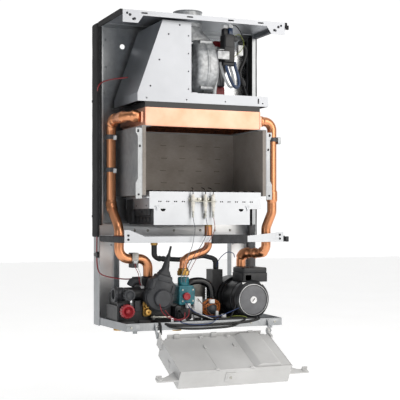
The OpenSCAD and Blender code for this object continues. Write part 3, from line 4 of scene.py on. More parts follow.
import bmesh
import bpy
import numpy as np
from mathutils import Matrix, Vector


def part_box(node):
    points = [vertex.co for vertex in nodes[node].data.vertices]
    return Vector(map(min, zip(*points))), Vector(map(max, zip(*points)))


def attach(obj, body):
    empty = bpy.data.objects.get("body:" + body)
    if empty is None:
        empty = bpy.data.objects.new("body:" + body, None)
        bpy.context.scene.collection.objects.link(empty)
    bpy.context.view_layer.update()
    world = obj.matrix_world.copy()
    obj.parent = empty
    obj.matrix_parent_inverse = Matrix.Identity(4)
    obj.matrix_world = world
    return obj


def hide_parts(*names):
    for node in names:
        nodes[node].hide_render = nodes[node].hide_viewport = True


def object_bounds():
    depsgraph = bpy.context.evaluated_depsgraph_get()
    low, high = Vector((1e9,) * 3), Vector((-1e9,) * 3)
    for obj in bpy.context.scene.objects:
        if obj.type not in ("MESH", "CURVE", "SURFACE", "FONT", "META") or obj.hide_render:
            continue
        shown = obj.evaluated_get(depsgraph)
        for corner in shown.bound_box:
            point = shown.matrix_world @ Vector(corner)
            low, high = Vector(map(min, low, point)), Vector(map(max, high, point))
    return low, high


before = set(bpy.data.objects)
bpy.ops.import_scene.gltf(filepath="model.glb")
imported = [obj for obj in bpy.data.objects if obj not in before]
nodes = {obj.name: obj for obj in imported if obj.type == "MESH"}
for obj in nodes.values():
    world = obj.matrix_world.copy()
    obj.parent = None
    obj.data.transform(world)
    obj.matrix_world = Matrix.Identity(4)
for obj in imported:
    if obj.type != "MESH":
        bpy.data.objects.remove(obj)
cad_low, cad_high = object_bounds()

# Camera: the photograph is taken from the left front at the height of the burner, with a long
# lens held level and shifted, so that uprights stay upright.
camera_turn = radians(22.9)
camera_data = bpy.data.cameras.new("camera")
camera_data.lens = 90
camera_data.sensor_width = 36
camera_data.shift_y = 0.05225
camera = bpy.data.objects.new("camera", camera_data)
camera.location = (-0.883, -2.2575, -0.413)
camera.rotation_euler = (pi / 2, 0, -camera_turn)
bpy.context.scene.collection.objects.link(camera)
bpy.context.scene.camera = camera


# Studio: a white room with one large soft light from the right front, a broad one overhead and a
# weak one from the left, over a pale floor a hand below the hanging control box.
def linear(code):
    """Linear colour of an sRGB hex value: each channel is undone by the sRGB curve."""
    channels = np.array([int(code[i:i + 2], 16) for i in (1, 3, 5)]) / 255
    low = channels / 12.92
    high = ((channels + 0.055) / 1.055) ** 2.4
    return (*np.where(channels <= 0.04045, low, high), 1.0)


def soft_light(name, place, target, size, watts, tint):
    """Square area light at a place in metres, turned so that it shines at the target."""
    data = bpy.data.lights.new(name, "AREA")
    data.size = size
    data.energy = watts
    data.color = linear(tint)[:3]
    lamp = bpy.data.objects.new(name, data)
    bpy.context.scene.collection.objects.link(lamp)
    lamp.location = place
    away = np.array(place) - np.array(target)
    flat = np.hypot(away[0], away[1])
    lamp.rotation_euler = (np.arctan2(flat, away[2]), 0, np.arctan2(away[1], away[0]) + pi / 2)


def add(tree, kind, values=None, links=None, **settings):
    """Shader node of one kind: values go on its inputs, links join its inputs to other sockets."""
    made = tree.nodes.new(kind)
    for name, value in settings.items():
        setattr(made, name, value)
    for name, value in (values or {}).items():
        made.inputs[name].default_value = value
    for name, socket in (links or {}).items():
        tree.links.new(socket, made.inputs[name])
    return made


middle = (0.0, -0.1, -0.33)
soft_light("key_softbox", (1.25, -2.5, 0.45), middle, 1.8, 30, "#fffaf4")
soft_light("top_softbox", (-0.1, -1.1, 1.7), middle, 1.6, 15, "#ffffff")
soft_light("left_fill", (-2.2, -1.6, -0.2), middle, 1.0, 5, "#f2f6ff")

world = bpy.data.worlds.new("white_room")
bpy.context.scene.world = world
world.use_nodes = True
room = world.node_tree
room.nodes.clear()
sky = add(room, "ShaderNodeTexCoord")
apart = add(room, "ShaderNodeSeparateXYZ", links={"Vector": sky.outputs["Generated"]})
backdrop = add(room, "ShaderNodeMapRange", {"From Min": -0.3, "From Max": 0.5, "To Min": 0.4, "To Max": 1.05},
               {"Value": apart.outputs["Y"]})
flag = add(room, "ShaderNodeMapRange", {"From Min": -0.8, "From Max": 0.0, "To Min": 0.3, "To Max": 1.0},
           {"Value": apart.outputs["X"]})
level = add(room, "ShaderNodeMath", links={0: backdrop.outputs["Result"], 1: flag.outputs["Result"]},
            operation="MULTIPLY")
glow = add(room, "ShaderNodeBackground", {"Color": linear("#ffffff")}, {"Strength": level.outputs["Value"]})
add(room, "ShaderNodeOutputWorld", links={"Surface": glow.outputs["Background"]})
bpy.context.scene.view_settings.view_transform = "Standard"


def start(name, colour, metal, rough, **values):
    """Material with one Principled shader, and the Object coordinates that its patterns follow."""
    made = bpy.data.materials.new(name)
    made.use_nodes = True
    tree = made.node_tree
    tree.nodes.clear()
    shader = add(tree, "ShaderNodeBsdfPrincipled", {"Base Color": linear(colour), "Metallic": metal,
                                                    "Roughness": rough, **values})
    add(tree, "ShaderNodeOutputMaterial", links={"Surface": shader.outputs["BSDF"]})
    place = add(tree, "ShaderNodeTexCoord").outputs["Object"]
    return made, tree, shader, place


def mottle(tree, shader, factor, dark, light, low=0.3, high=0.7):
    """Base colour that runs from dark to light as the factor goes from low to high."""
    ramp = add(tree, "ShaderNodeValToRGB", links={"Fac": factor})
    ramp.color_ramp.elements[0].position = low
    ramp.color_ramp.elements[1].position = high
    ramp.color_ramp.elements[0].color = linear(dark)
    ramp.color_ramp.elements[1].color = linear(light)
    tree.links.new(ramp.outputs["Color"], shader.inputs["Base Color"])
    return ramp


def noise(tree, place, size_mm, detail=3.0, stretch=(1, 1, 1)):
    """Noise whose features are about size_mm across, drawn out along an axis by a stretch below 1."""
    spread = add(tree, "ShaderNodeMapping", {"Scale": stretch}, {"Vector": place})
    return add(tree, "ShaderNodeTexNoise", {"Scale": 1000 / size_mm, "Detail": detail},
               {"Vector": spread.outputs["Vector"]}).outputs["Fac"]


floor_drop = 0.12
floor_reach = 9.0
floor_glow = 0.34
floor_z = cad_low.z - floor_drop
floor_mesh = bpy.data.meshes.new("floor")
floor_corners = [(x * floor_reach, y * floor_reach, floor_z) for x, y in ((-1, -1), (1, -1), (1, 1), (-1, 1))]
floor_mesh.from_pydata(floor_corners, [], [(0, 1, 2, 3)])
floor = bpy.data.objects.new("floor", floor_mesh)
bpy.context.scene.collection.objects.link(floor)
# The floor is a sheet of opal acrylic lit from below, which keeps the object's shadow on it weak.
acrylic, floor_tree, floor_shader, floor_place = start("lit_acrylic", "#fbfbfa", 0.0, 0.8,
                                                       **{"Emission Color": linear("#ffffff"),
                                                          "Emission Strength": floor_glow})
mottle(floor_tree, floor_shader, noise(floor_tree, floor_place, 300), "#f9f9f8", "#ffffff")
floor_mesh.materials.append(acrylic)


# Rear frame: back plate with its legs and side flanges, folded from hot-dip galvanised sheet, which
# shows faint zinc crystals and rolling lines. Blind rivets hold the rails that stiffen it inside.
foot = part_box("rear_frame")[0].z
spangle_mm = 9
rolling_mm = 1.2


def polish(tree, shader, factor, low, high):
    """Roughness that runs from low to high with the factor."""
    run = add(tree, "ShaderNodeMapRange", {"To Min": low, "To Max": high}, {"Value": factor})
    tree.links.new(run.outputs["Result"], shader.inputs["Roughness"])


def relief(tree, shader, height, depth_mm, strength=1.0):
    """Bump of a real depth in millimetres from a pattern between 0 and 1."""
    bump = add(tree, "ShaderNodeBump", {"Strength": strength, "Distance": depth_mm / 1000},
               {"Height": height})
    tree.links.new(bump.outputs["Normal"], shader.inputs["Normal"])


def blend_of(tree, first, second, share):
    """One factor made of two, the second counting for the given share."""
    return add(tree, "ShaderNodeMix", {"Factor": share}, {"A": first, "B": second},
               data_type="FLOAT").outputs["Result"]


def galvanised_sheet():
    """Zinc sheet: crystals of two greys, fine lines along the rolling direction, soft shine."""
    made, tree, shader, place = start("galvanised_sheet", "#8d9193", 1.0, 0.4)
    crystal = add(tree, "ShaderNodeTexVoronoi", {"Scale": 1000 / spangle_mm}, {"Vector": place}, feature="F1")
    lines = noise(tree, place, rolling_mm, 2.0, (1, 1, 0.06))
    grey = blend_of(tree, noise(tree, place, 60), crystal.outputs["Color"], 0.25)
    both = blend_of(tree, grey, lines, 0.3)
    mottle(tree, shader, both, "#8f9295", "#b4b7b9", 0.25, 0.75)
    polish(tree, shader, both, 0.3, 0.48)
    relief(tree, shader, lines, 0.03, 0.35)
    return made


def dress(material, *names):
    """Give the CAD nodes their finish."""
    for name in names:
        nodes[name].data.materials.clear()
        nodes[name].data.materials.append(material)


def cad_box(name):
    """Low and high corner of a CAD node in millimetres across, forward from the wall and up from the foot."""
    low, high = (np.array(corner) * 1000 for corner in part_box(name))
    return (np.array([low[0], -high[1], low[2] - foot * 1000]),
            np.array([high[0], -low[1], high[2] - foot * 1000]))


def in_frame(skin):
    """Points in metres in the frame: across stays, forward is turned to minus y, the foot is added to up."""
    return np.stack([skin[..., 0], -skin[..., 1], skin[..., 2]], axis=-1) / 1000 + (0, 0, foot)


def stand(name, mesh, material, sharp):
    """Object of a mesh in one material, shaded smooth except at edges sharper than the given angle."""
    mesh.polygons.foreach_set("use_smooth", np.ones(len(mesh.polygons), bool))
    mesh.set_sharp_from_angle(angle=radians(sharp))
    mesh.materials.clear()
    mesh.materials.append(material)
    made = bpy.data.objects.new(name, mesh)
    bpy.context.scene.collection.objects.link(made)
    return made


def piece(name, material, *skins, sharp=38):
    """Mesh object from closed skins given in millimetres across, forward from the wall and up from the
    foot. A skin is an array of rings, rows by columns: neighbouring rings are joined by quads and both
    ends are closed by one face. A skin that comes out inside out is turned round."""
    points, faces, count = [], [], 0
    for skin in skins:
        rows, columns = skin.shape[:2]
        i = np.arange(rows - 1)[:, None] * columns
        j = np.arange(columns)[None, :]
        k = (j + 1) % columns
        quads = np.stack([i + j, i + k, i + columns + k, i + columns + j], axis=-1).reshape(-1, 4)
        flat = in_frame(skin).reshape(-1, 3)
        a, b, c, d = (flat[quads[:, n]] - flat.mean(0) for n in range(4))
        volume = np.einsum("ij,ij->", a, np.cross(b, c)) + np.einsum("ij,ij->", a, np.cross(c, d))
        for ring, sign in ((flat[:columns], -1), (flat[-columns:], 1)):
            p, q = ring - flat.mean(0), np.roll(ring, -1, axis=0) - flat.mean(0)
            volume += sign * np.einsum("ij,ij->", np.cross(p, q), np.broadcast_to(p.mean(0), p.shape))
        ends = [np.arange(columns)[::-1], (rows - 1) * columns + np.arange(columns)]
        if volume < 0:
            quads, ends = quads[:, ::-1], [end[::-1] for end in ends]
        faces += (quads + count).tolist() + [(end + count).tolist() for end in ends]
        points.append(flat)
        count += len(flat)
    mesh = bpy.data.meshes.new(name)
    mesh.from_pydata(np.concatenate(points), [], faces)
    return stand(name, mesh, material, sharp)


def turned(profile, sides=40):
    """Rings of a profile of radius and height pairs, turned about the third axis."""
    profile = np.array(profile, float)
    angle = np.linspace(0, 2 * pi, sides, endpoint=False)
    radius = profile[:, :1]
    height = np.broadcast_to(profile[:, 1:], (len(profile), sides))
    return np.stack([radius * np.cos(angle), radius * np.sin(angle), height], axis=-1)


def set_out(skin, centre, axis=(0, 1, 0), tilt=0.0):
    """Skin drawn about its own third axis, tilted about it, then stood on the centre along the axis: the
    first axis stays level and the second points up, or forward where the axis itself is upright."""
    third = np.array(axis, float) / np.linalg.norm(axis)
    first = np.cross(third, (0, 0, 1)) if abs(third[2]) < 0.9 else np.array([1.0, 0, 0])
    first /= np.linalg.norm(first)
    second = np.cross(first, third) if abs(third[2]) < 0.9 else np.array([0.0, 1.0, 0])
    turn = radians(tilt)
    x = skin[..., 0] * np.cos(turn) - skin[..., 1] * np.sin(turn)
    y = skin[..., 0] * np.sin(turn) + skin[..., 1] * np.cos(turn)
    return np.array(centre) + x[..., None] * first + y[..., None] * second + skin[..., 2:] * third


def dome(radius, height):
    """Low rounded head: a quarter of an ellipse turned about its axis, over a short straight rim."""
    angle = np.linspace(0, pi / 2 - 0.05, 6)
    arc = np.stack([radius * np.cos(angle), 0.25 * height + 0.75 * height * np.sin(angle)], axis=1)
    return turned(np.concatenate([[[radius, 0]], arc]), 16)


zinc = galvanised_sheet()
dress(zinc, "rear_frame")
half = cad_box("rear_frame")[1][0]
plate_face = 1.2
rivet_spots = ((22, 690), (29, 668), (22, 654), (29, 605), (26, 542), (28, 430), (28, 330), (42, 185))
rivet_places = [(side * (half - inset), plate_face, z) for side in (-1, 1) for inset, z in rivet_spots]
rivets = piece("frame_rivets", zinc, *[set_out(dome(2.6, 1.6), place) for place in rivet_places])
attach(rivets, "boiler")


# Side foams: strips of closed-cell foam stuck on the outside of the frame's flanges, where they seal
# against the casing. They bulge a little and their cut faces show the cells. A narrow strip lies on the
# left flange's lip. A dark foam strip lining the right flange inside is painted shade: it stands for the
# shadow on that flange's inner face.
def closed_cell_foam():
    """EPDM foam: near black, dull, with cells about a millimetre wide and a few scuffs."""
    made, tree, shader, place = start("closed_cell_foam", "#171718", 0.0, 0.85)
    cells = add(tree, "ShaderNodeTexVoronoi", {"Scale": 1000 / 1.4}, {"Vector": place}, feature="F1")
    mottle(tree, shader, noise(tree, place, 25, 4.0, (1, 1, 0.3)), "#121213", "#29292b", 0.35, 0.8)
    relief(tree, shader, cells.outputs["Distance"], 0.25, 0.5)
    return made


def rounded(corners, radius, steps=4, closed=True):
    """Outline whose corners are eased by curves of the second degree, each starting and ending at most
    half a side away from its corner."""
    corners = np.array(corners, float)
    before, after = np.roll(corners, 1, axis=0), np.roll(corners, -1, axis=0)
    if not closed:
        before[0], after[-1] = corners[0], corners[-1]
    reach_in = np.linalg.norm(before - corners, axis=1, keepdims=True)
    reach_out = np.linalg.norm(after - corners, axis=1, keepdims=True)
    radius = np.broadcast_to(np.array(radius, float).reshape(-1, 1), (len(corners), 1))
    enter = corners + (before - corners) * np.minimum(radius / np.maximum(reach_in, 1e-9), 0.5)
    leave = corners + (after - corners) * np.minimum(radius / np.maximum(reach_out, 1e-9), 0.5)
    t = np.linspace(0, 1, steps + 1)[None, :, None]
    arcs = (1 - t) ** 2 * enter[:, None] + 2 * t * (1 - t) * corners[:, None] + t ** 2 * leave[:, None]
    if not closed:
        return np.concatenate([corners[:1], arcs[1:-1].reshape(-1, corners.shape[1]), corners[-1:]])
    return arcs.reshape(-1, corners.shape[1])


def pressed(outline, layers):
    """Rings of a closed outline, each drawn in by its layer's inset and lifted to its layer's height.
    The inset goes along the mean of the two neighbouring sides' normals, lengthened at corners."""
    outline = np.array(outline, float)
    along = np.roll(outline, -1, axis=0) - outline
    along /= np.maximum(np.linalg.norm(along, axis=1, keepdims=True), 1e-9)
    normal = np.stack([-along[:, 1], along[:, 0]], axis=1)
    area = np.sum(outline[:, 0] * np.roll(outline[:, 1], -1) - np.roll(outline[:, 0], -1) * outline[:, 1])
    normal *= np.sign(area)
    mean = normal + np.roll(normal, 1, axis=0)
    mean /= np.maximum(np.sum(mean * mean, axis=1, keepdims=True), 0.8) / 2
    layers = np.array(layers, float)
    flat = outline[None] + layers[:, :1, None] * mean[None]
    height = np.broadcast_to(layers[:, 1][:, None, None], (*flat.shape[:2], 1))
    return np.concatenate([flat, height], axis=-1)


def soft_layers(height, soft, steps=3):
    """Layers of a body whose two rims are rounded by quarter circles."""
    angle = np.linspace(0, pi / 2, steps + 1)
    inset, rise = soft * (1 - np.sin(angle)), soft * (1 - np.cos(angle))
    return np.concatenate([np.stack([inset, rise], 1), np.stack([inset, height - rise], 1)[::-1]])


def block(low, high, soft=1.0, corner=None, axis=2):
    """Box between two corners, its rims rounded by soft and the edges along its axis by corner."""
    low, high = np.array(low, float), np.array(high, float)
    size, order = high - low, {0: (1, 2, 0), 1: (2, 0, 1), 2: (0, 1, 2)}[axis]
    wide, tall, long = size[list(order)]
    outline = rounded([(0, 0), (wide, 0), (wide, tall), (0, tall)], soft if corner is None else corner, 3)
    rings = pressed(outline, soft_layers(long, min(soft, long / 2.01)))
    made = np.empty_like(rings)
    made[..., list(order)] = rings
    return made + low


foam = closed_cell_foam()
(seal_in, _, seal_foot), (seal_out, _, seal_top) = cad_box("side_seal_right")
flange_d = 45
seal_bulge = rounded([(seal_in, 0), (seal_out - 0.8, 2), (seal_out, 22), (seal_out - 0.8, flange_d - 2),
                      (seal_in, flange_d)], (0.5, 3, 12, 3, 0.5), 5)
seal_l = seal_top - seal_foot
levels = np.concatenate([[0, 1], np.linspace(3, seal_l - 3, 60), [seal_l - 1, seal_l]])
foam_wave = 0.25 * np.sin(levels / 13) + 0.2 * np.sin(levels / 31)
foam_inset = np.where((levels < 2) | (levels > seal_l - 2), 1.0, np.abs(foam_wave))
for side, name in ((-1, "left"), (1, "right")):
    skin = pressed(seal_bulge, np.stack([foam_inset, levels + seal_foot], axis=1))
    skin[..., 0] = np.maximum(skin[..., 0], seal_in) * side
    side_foam = piece("side_foam_" + name, foam, skin)
    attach(side_foam, "boiler")
    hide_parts("side_seal_" + name)

lip_foot, lip_top, lip_w, lip_t = 232.0, seal_top - 1, 5.2, 3.3
lip_in, lip_back = 0.2 - half, flange_d + 0.1
# The second block, inside the right flange, is painted shade: a dark strip standing for the shadow on that
# flange's inner face.
lip_foam_and_shade_strip = piece("lip_foam_and_shade_strip", foam,
                  block((lip_in, lip_back, lip_foot), (lip_in + lip_w, lip_back + lip_t, lip_top), 1.2, 2),
                  block((half - 3.4, 8, lip_foot), (half - 0.8, flange_d - 0.4, lip_top), 1.2, 1.2))
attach(lip_foam_and_shade_strip, "boiler")


# Top panel: pressed lid of bright aluminised steel with a folded front edge and an ear at each end
# for the casing screws; short beads stiffen the fold. Foam strips are stuck along both sides, and a
# block of foam at the end of the right ear.
def aluminised_sheet(name, dark, light):
    """Aluminised steel: bright satin metal with faint upright rolling lines and slow clouds."""
    made, tree, shader, place = start(name, light, 1.0, 0.4)
    cloud = noise(tree, place, 90)
    mottle(tree, shader, cloud, dark, light)
    polish(tree, shader, cloud, 0.36, 0.48)
    relief(tree, shader, noise(tree, place, 0.9, 2.0, (1, 1, 0.05)), 0.02, 0.25)
    return made


def dark_screw_steel():
    """Phosphated screw: dark grey with a soft shine."""
    made, tree, shader, place = start("dark_screw_steel", "#3c3c3e", 1.0, 0.42)
    mottle(tree, shader, noise(tree, place, 2.0), "#2f2f31", "#4b4b4e")
    return made


def screw_head(radius, height=1.6):
    """Pan head with a cross recess: the recess rings reach further out along four arms."""
    angle = np.linspace(0, 2 * pi, 24, endpoint=False)
    arms = 0.16 + 0.42 * np.abs(np.cos(2 * angle)) ** 6
    shape = [(1.0, 0.0), (1.0, 0.35), (0.9, 0.8), (0.66, 1.0)]
    rim = turned([(r * radius, h * height) for r, h in shape], 24)
    recess = [np.stack([arms * radius * s * np.cos(angle), arms * radius * s * np.sin(angle),
                        np.full(24, h * height)], axis=-1) for s, h in ((1.0, 1.0), (0.9, 0.45))]
    return np.concatenate([rim, np.stack(recess)])


hood_sheet = aluminised_sheet("clear_coated_sheet", "#a2a5aa", "#b0b3b8")
black_bolt = dark_screw_steel()
dress(hood_sheet, "top_panel")
lid_front = 205
lid_top = cad_box("top_panel")[1][2]
ear_in, ear_low, far_in, far_low = 19.8, 11.2, 30.2, 19.2
ear_places = [(side * (half - inset), lid_front, lid_top - low) for side in (-1, 1)
              for inset, low in ((ear_in, ear_low), (far_in, far_low))]
lid_screws = piece("lid_screws", black_bolt, *[set_out(screw_head(3.0), place) for place in ear_places])
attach(lid_screws, "boiler")

bead_w, bead_h, bead_z = 16, 5, lid_top - 8
lid_beads = piece("lid_beads", hood_sheet, *[
    block((x - bead_w / 2, lid_front - 2, bead_z), (x + bead_w / 2, lid_front, bead_z + bead_h), 0.9)
    for x in (-147, -40, 60, 135)])
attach(lid_beads, "boiler")
ear_foam = piece("ear_foam", foam, block((197.5, 204.6, 683.5), (205.6, 208.8, 693.5), 1.2, 1.6, axis=1))
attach(ear_foam, "boiler")
dress(foam, "top_seal")


# Flue collar: die-cast aluminium spigot that takes the flue pipe, with a rolled rim, a groove for the
# gasket and a flange screwed down on the lid.
def cast_aluminium():
    """Pressure die casting: pale grey with a fine skin, flow clouds and dull and bright patches."""
    made, tree, shader, place = start("cast_aluminium", "#b3b5b6", 0.8, 0.55)
    flow = noise(tree, place, 9, 5.0)
    mottle(tree, shader, flow, "#96989a", "#cfd1d2", 0.3, 0.7)
    polish(tree, shader, flow, 0.45, 0.62)
    relief(tree, shader, noise(tree, place, 1.4), 0.2, 0.5)
    return made


def screw_steel():
    """Zinc-plated screw: small, bright, slightly yellow."""
    made, tree, shader, place = start("screw_steel", "#b7b6ac", 1.0, 0.3)
    mottle(tree, shader, noise(tree, place, 2.0), "#9d9c93", "#cfcec6")
    return made


casting = cast_aluminium()
bolt_steel = screw_steel()
upright = (0, 0, 1)
collar_low, collar_high = cad_box("flue_collar")
collar_x, collar_d, _ = (collar_low + collar_high) / 2
collar_foot, collar_top = collar_low[2], collar_high[2]
flange_r, spigot_r, bore_r, flange_foot, flange_top = 40.0, 33.0, 30.0, 700.05, 702
collar_profile = rounded([(bore_r, collar_foot), (spigot_r, collar_foot), (spigot_r, flange_foot),
                          (flange_r, flange_foot), (flange_r, flange_top), (spigot_r, flange_top),
                          (spigot_r, 712), (spigot_r - 1, 713), (spigot_r - 1, 715), (spigot_r, 716),
                          (spigot_r, collar_top - 3), (spigot_r + 1.5, collar_top - 2),
                          (spigot_r + 1.5, collar_top - 0.6), (spigot_r, collar_top),
                          (bore_r + 1, collar_top), (bore_r, collar_top - 1)], 0.8, 3)


def ringed(name, material, profile, centre, axis=(0, 0, 1), columns=64, sharp=38):
    """Mesh of a closed profile of radius and height pairs turned all the way round, so that it keeps its
    bore. The centre and axis are as for set_out."""
    skin = set_out(turned(profile, columns), centre, axis)
    rows = len(skin)
    i, j = np.meshgrid(np.arange(rows), np.arange(columns), indexing="ij")
    a, b = i * columns + j, i * columns + (j + 1) % columns
    c, d = ((i + 1) % rows) * columns + (j + 1) % columns, ((i + 1) % rows) * columns + j
    quads = np.stack([a, b, c, d], axis=-1).reshape(-1, 4)
    flat = in_frame(skin).reshape(-1, 3)
    corner = flat[quads] - flat.mean(0)
    volume = sum(np.einsum("ij,ij->", corner[:, 0], np.cross(corner[:, n], corner[:, n + 1])) for n in (1, 2))
    mesh = bpy.data.meshes.new(name)
    mesh.from_pydata(flat, [], (quads if volume > 0 else quads[:, ::-1]).tolist())
    return stand(name, mesh, material, sharp)


collar = ringed("flue_spigot", casting, collar_profile, (collar_x, collar_d, 0))
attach(collar, "boiler")
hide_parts("flue_collar")
bolt_circle = 37
collar_bolts = piece("collar_bolts", bolt_steel, *[
    set_out(screw_head(2.2), (collar_x + bolt_circle * np.cos(turn), collar_d + bolt_circle * np.sin(turn),
                              flange_top), upright) for turn in (0.6, 2.6, 4.6)])
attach(collar_bolts, "boiler")


# Shelf and crossbar: the bright floor of the sealed chamber with a sill bolted along its back,
# doubling plates on the legs below, and the folded bar in front, screwed to a gusset at each end. The
# sill and the doubling plates are near white as painted light: they stand in for the light these shaded
# sheets catch. Foam pads sit beside and over the bar, and rubber grommets seal the pipes that pass the shelf.
bright_sheet = aluminised_sheet("aluminised_sheet", "#b4b7bb", "#c4c7cb")
dress(bright_sheet, "shelf", "crossbar")
# Near-white sheet as painted light: the sill and the leg plates stand in for light that these shaded sheets
# catch.
painted_light_sheet = aluminised_sheet("pale_aluminised_painted_light", "#e2e4e6", "#f4f5f5")
sill_left, sill_right, sill_foot, sill_top, sill_face = -191, 195, 208.6, 236, 3.6
sill = piece("shelf_rear_sill_painted_light", painted_light_sheet,
             block((sill_left, 2.2, sill_foot), (sill_right, sill_face, sill_top), 0.5, 0.6, axis=1),
             block((sill_left, 2.4, sill_top - 1), (sill_right, 9, sill_top + 0.4), 0.5, 0.6, axis=1))
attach(sill, "boiler")
# The leg plates are near white as painted light on the shaded legs.
doublers = piece("leg_doublers_painted_light", painted_light_sheet, *[
    block((low, 0.8, 4), (high, 2.3, 205), 0.5, 2, axis=1) for low, high in ((-196, -150), (150, 196))])
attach(doublers, "boiler")
bar_front = 205
crossbar_screws = piece("crossbar_screws", black_bolt, *[
    set_out(screw_head(2.6), (x, bar_front, z)) for x in (-184, 184) for z in (201.3, 210.3)])
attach(crossbar_screws, "boiler")
shelf_bolts = piece("shelf_bolts", bolt_steel, *[
    set_out(dome(3.0, 2.0), (x, sill_face - 0.1, 219)) for x in (-100, -67, 0.4, 70, 109, 150)])
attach(shelf_bolts, "boiler")


def moulded_foam():
    """Skinned foam: dark grey, denser and smoother than the strips, with a faint wave."""
    made, tree, shader, place = start("moulded_foam", "#2c2d2f", 0.0, 0.7)
    mottle(tree, shader, noise(tree, place, 15, 4.0), "#232426", "#38393c")
    relief(tree, shader, noise(tree, place, 1.2), 0.12, 0.5)
    return made


pad_foam = moulded_foam()
pad_skins = [block((low, 45.3, 194), (high, 203.5, 208), 1.6, 2.5, axis=1)
             for low, high in ((-199, -192), (192, 199))]
clip_outline = rounded([(198, 191), (209, 191), (209, 211), (198, 211), (198, 208.2), (204.8, 208.2),
                        (205.2, 194), (198, 193.8)], (1.5, 3, 3, 1.5, 1, 0.1, 0.1, 1), 4)
clip_rings = pressed(clip_outline, soft_layers(87, 1.2))
pad_skins.append(np.stack([clip_rings[..., 2] + 13, clip_rings[..., 0], clip_rings[..., 1]], axis=-1))
pad_skins.append(block((197.5, 203.8, 194), (205.6, 208.6, 206.5), 1.2, 1.6, axis=1))
pads = piece("bar_pads", pad_foam, *pad_skins)
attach(pads, "boiler")
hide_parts("foam_pads")


def rust_rubber():
    """Silicone rubber grommet: brick red, dull, with dust in its grooves."""
    made, tree, shader, place = start("rust_rubber", "#5d2018", 0.0, 0.6)
    mottle(tree, shader, noise(tree, place, 6), "#4a1812", "#74301f")
    return made


grommet_rubber = rust_rubber()
flow_x, flow_d, return_x, return_d, gas_x, gas_d = -174, 110, 173, 155, 28, 150
water_r, gas_r = 11, 9
for name, x, d, r in (("flow", flow_x, flow_d, water_r), ("return", return_x, return_d, water_r),
                      ("gas", gas_x, gas_d, gas_r)):
    grommet = ringed("grommet_" + name, grommet_rubber,
                     rounded([(r + 0.3, 200), (r + 4.6, 202), (r + 4.8, 204.6), (r + 3.8, 204.9),
                              (r + 3.8, 206.2), (r + 4.4, 206.8), (r + 3, 208), (r + 0.3, 209.5)], 0.7, 3),
                     (x, d, 0), columns=40)
    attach(grommet, "boiler")
    if name == "flow":
        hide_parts("grommets")


# Combustion chamber: a galvanised jacket lined with ceramic fibre board, open to the front here
# because its own cover is off. A stepped bright bracket on each side carries that cover's screws.
def fibre_board():
    """Ceramic fibre board: warm grey, matt, with loose fibres and small nicks in rows."""
    made, tree, shader, place = start("fibre_board", "#8f8780", 0.0, 0.95)
    strands = noise(tree, place, 3.0, 6.0, (0.5, 0.5, 1))
    both = blend_of(tree, strands, noise(tree, place, 60), 0.75)
    mottle(tree, shader, both, "#857e77", "#a09992", 0.3, 0.7)
    relief(tree, shader, strands, 0.15, 0.4)
    return made


def dull_zinc(name, dark, light):
    """Zinc sheet that has lost its shine: pale grey bloom with soft crystals."""
    made, tree, shader, place = start(name, light, 0.45, 0.6)
    crystal = add(tree, "ShaderNodeTexVoronoi", {"Scale": 1000 / spangle_mm}, {"Vector": place}, feature="F1")
    both = blend_of(tree, noise(tree, place, 40, 4.0), crystal.outputs["Color"], 0.3)
    mottle(tree, shader, both, dark, light, 0.25, 0.75)
    return made


fibre = fibre_board()
dress(fibre, "insulation_sides", "insulation_back")
dress(dull_zinc("jacket_zinc", "#86888a", "#a3a5a7"), "chamber_jacket")
dress(zinc, "chamber_brackets")
back_face = 27.5
nick_w, nick_h = 15.0, 1.1
nick_rows = ((421.5, 0), (391.5, 2), (362, -1), (333, 1))
nicks = [(x + shift, z) for z, shift in nick_rows for x in (-95, -36, 11, 56, 104)]
cut_fibre, cut_tree, cut_shader, cut_place = start("cut_fibre", "#5c534b", 0.0, 0.95)
mottle(cut_tree, cut_shader, noise(cut_tree, cut_place, 3), "#4f4740", "#6b6159")
board_nicks = piece("board_nicks", cut_fibre,
                    *[block((x - nick_w / 2, back_face - 0.4, z - nick_h / 2),
                            (x + nick_w / 2, back_face + 0.5, z + nick_h / 2), 0.35) for x, z in nicks])
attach(board_nicks, "boiler")
bracket_screws = piece("bracket_screws", black_bolt,
                       *[set_out(screw_head(2.4), (x, 190, z))
                         for x, z in ((-156.4, 438.5), (-152.5, 405.9), (165.4, 438.5), (161.5, 405.9),
                                      (-155.2, 300), (164.2, 300))])
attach(bracket_screws, "boiler")


# Burner: a bright box with the gas manifold below, a bar with paired air ports over it, and a comb of
# slotted stainless blades standing in the bar. Two clips hold the shield in front, and a dark cast plate
# with ribs closes the left end.
def scaled_steel():
    """Stainless steel that the flame has scaled: dark grey, dull, with brown and blue tints."""
    made, tree, shader, place = start("scaled_steel", "#37353a", 0.8, 0.5)
    mottle(tree, shader, noise(tree, place, 12, 4.0), "#242326", "#4a4541")
    return made


dress(bright_sheet, "burner_frame", "burner_box")
dress(scaled_steel(), "burner_blades")
shield_front = 195
clip_places = (-114.4, 105.5)
shield_clips = piece("shield_clips", bright_sheet, *[
    block((x - 2.2, shield_front - 1, 265), (x + 2.2, shield_front + 1.6, 274), 0.7) for x in clip_places], *[
    block((x - 5, shield_front + 0.2, 273), (x + 5, shield_front + 1.8, 275.5), 0.7) for x in clip_places])
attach(shield_clips, "boiler")


def phosphated_casting():
    """Phosphated die casting: dark grey, dull, with a fine skin and rubbed corners."""
    made, tree, shader, place = start("phosphated_casting", "#3a3b3d", 0.6, 0.55)
    mottle(tree, shader, noise(tree, place, 10, 4.0), "#303133", "#4d4e50")
    relief(tree, shader, noise(tree, place, 1.0), 0.1, 0.4)
    return made


